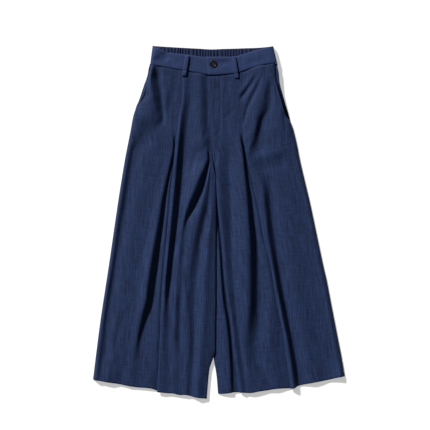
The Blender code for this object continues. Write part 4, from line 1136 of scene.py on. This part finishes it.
# %% Turning and drilling the button
seat = top_of(surfaces(bands), BUTTON_ACROSS, BUTTON_DOWN) + SEAM_GAP
radius = BUTTON_DIAMETER / 2
dish = BUTTON_THICKNESS - BUTTON_DISH
outline = ((0, dish), (radius - BUTTON_RIM - 0.9, dish), (radius - BUTTON_RIM - 0.2, dish + 0.5),
           (radius - BUTTON_RIM + 0.3, BUTTON_THICKNESS - 0.1), (radius - 1.1, BUTTON_THICKNESS),
           (radius - 0.4, BUTTON_THICKNESS - 0.3), (radius, BUTTON_THICKNESS - 0.9),
           (radius, 0.9), (radius - 0.9, 0), (0, 0))
turned = bmesh.new()
ring = [turned.verts.new(Vector((out, 0, height)) * MM) for out, height in outline]
edges = [turned.edges.new(pair) for pair in zip(ring, ring[1:])]
bmesh.ops.spin(turned, geom=ring + edges, cent=(0, 0, 0), axis=(0, 0, 1), dvec=(0, 0, 0),
               angle=2 * math.pi, steps=64, use_merge=True, use_duplicate=False)
bmesh.ops.remove_doubles(turned, verts=turned.verts, dist=0.00001)
bmesh.ops.recalc_face_normals(turned, faces=turned.faces[:])
blank = bpy.data.objects.new("button_blank", mesh_of("button", turned))
bpy.context.scene.collection.objects.link(blank)
drills = []
for corner in range(4):
    angle = math.pi / 4 + corner * math.pi / 2
    out = BUTTON_HOLE_PITCH / 2 * math.sqrt(2) * MM
    drill = bmesh.new()
    bmesh.ops.create_cone(drill, cap_ends=True, segments=20, radius1=BUTTON_HOLE / 2 * MM,
                          radius2=BUTTON_HOLE / 2 * MM, depth=0.02)
    bmesh.ops.translate(drill, verts=drill.verts,
                        vec=(math.cos(angle) * out, math.sin(angle) * out, 0))
    tool = bpy.data.objects.new("drill", mesh_of("drill", drill))
    bpy.context.scene.collection.objects.link(tool)
    drills.append(tool)
    hole = blank.modifiers.new("hole", "BOOLEAN")
    hole.operation = "DIFFERENCE"
    hole.object = tool
bpy.context.view_layer.update()
drilled = bpy.data.meshes.new_from_object(
    blank.evaluated_get(bpy.context.evaluated_depsgraph_get()))
for spare in drills + [blank]:
    bpy.data.objects.remove(spare, do_unlink=True)
for point in drilled.vertices:
    point.co += place((BUTTON_ACROSS, BUTTON_DOWN, seat))
drilled.materials.clear()
drilled.name = "waist_button_turned"
button = piece_of("button", drilled, horn, "waist_button")
for face in button.data.polygons:
    face.use_smooth = True
button.data.set_sharp_from_angle(angle=math.radians(35))
print("button seat", round(seat, 2), "mm above the table")

# %% [markdown]
# ## Thread
#
# The fly's stitching, the buttonhole and the tacks of the loops are single stitches of
# thread, each a small ellipsoid that lies on the cloth. Thicker strands run across the
# button from hole to hole.

# %% Thread and a row of stitches
STITCH = 2.6            # mm
STITCH_GAP = 0.8
THREAD = 0.42

# Spun polyester is a little lighter and glossier than the cloth, so a stitch stays visible.
thread, tree, output = new_material("polyester sewing thread")
strand = add_node(tree, "ShaderNodeBsdfPrincipled", {
    "Base Color": linear("#2F3D66"), "Roughness": 0.55, "Specular IOR Level": 0.3,
    "Sheen Weight": 0.2})
tree.links.new(strand.outputs[0], output.inputs["Surface"])


def stitch_row(name, corners, trees, stitch=STITCH, gap=STITCH_GAP, width=THREAD, rise=0.0):
    """Stitches of thread one behind the other along a path on the cloth."""
    path = curve_through([Vector((x, y, 0)) for x, y in corners], [12] * (len(corners) - 1))
    lengths = [0.0]
    for a, b in zip(path, path[1:]):
        lengths.append(lengths[-1] + (b - a).length)
    row = bmesh.new()
    count = max(1, int(lengths[-1] // (stitch + gap)))
    for number in range(count):
        middle = (number + 0.5) * lengths[-1] / count
        at = min(bisect_right(lengths, middle), len(path) - 1) - 1
        share = (middle - lengths[at]) / max(lengths[at + 1] - lengths[at], 1e-6)
        spot = path[at].lerp(path[at + 1], share)
        way = (path[at + 1] - path[at]).normalized()
        ends = [spot - way * stitch / 2, spot + way * stitch / 2]
        levels = [top_of(trees, end.x, end.y) + rise for end in ends]
        made = bmesh.ops.create_uvsphere(row, u_segments=8, v_segments=5, radius=1)["verts"]
        lean = place((*ends[1].xy, levels[1])) - place((*ends[0].xy, levels[0]))
        centre = place((*spot.xy, sum(levels) / 2 + 0.3 * width))
        turn = lean.to_track_quat("X", "Z")
        for vertex in made:
            local = Vector((vertex.co.x * lean.length / 2, vertex.co.y * width / 2 * MM,
                            vertex.co.z * width / 2 * MM))
            vertex.co = centre + turn @ local
    piece_of(name, mesh_of(name, row, smooth=True), thread, None)
    print(name, count, "stitches")


print("thread", THREAD, "mm thick")

# %% Sewing
TACK_REACH = 4.6        # half the length of a belt loop's tack
TACK_SHARES = (("top", 0.06), ("end", 0.94))    # how far along the loop each lies

cloth = surfaces([left_leg, right_leg] + bands)
over_loops = surfaces(loops)
stitch_row("fly_stitching", ((12, 82), (9.5, 130), (8, 180), (7.5, 222), (11, 231),
                             (1, 245), (-16, 250)), cloth)
stitch_row("buttonhole_stitching", ((-4, 61), (1, 57), (8, 50)), surfaces(bands),
           stitch=2.4, gap=-1.2, width=1.3)
for (node, start, end), first_down, last_down in zip(LOOPS, LOOP_TOP, LOOP_END):
    for place_name, share in TACK_SHARES:
        down = blend(first_down, last_down, share)
        middle = blend(start, end, share)
        stitch_row(f"{node.replace('belt_', '')}_{place_name}_tack",
                   ((middle - TACK_REACH, down), (middle, down), (middle + TACK_REACH, down)),
                   over_loops, stitch=1.6, gap=-0.5, width=0.9)

# %% Thread in the button
STRAND = 0.38           # half the thickness of a strand
STRAND_GAP = 0.35       # how far two strands lie from their middle

half = BUTTON_HOLE_PITCH / 2
for number, side in enumerate((-1, 1)):
    strand_rows = bmesh.new()
    for offset in (-STRAND_GAP, STRAND_GAP):
        made = bmesh.ops.create_uvsphere(strand_rows, u_segments=12, v_segments=8, radius=1)
        for vertex in made["verts"]:
            bend = 1 - vertex.co.x ** 2
            vertex.co = place((BUTTON_ACROSS, BUTTON_DOWN, seat + dish)) + Vector((
                vertex.co.x * (half + 0.5), vertex.co.y * STRAND + side * half + offset,
                vertex.co.z * STRAND + 0.35 * bend - 0.15)) * MM
    name = f"button_thread_{number}"
    piece_of(name, mesh_of(name, strand_rows, smooth=True), thread, None)
print("two pairs of strands, hole to hole")

# %% [markdown]
# ## Laid areas of the sheets
#
# The laid areas of the leg and back sheets are printed where those sheets are made.

# %% Flat sizes
print("laid areas are printed with the leg and back sheets")
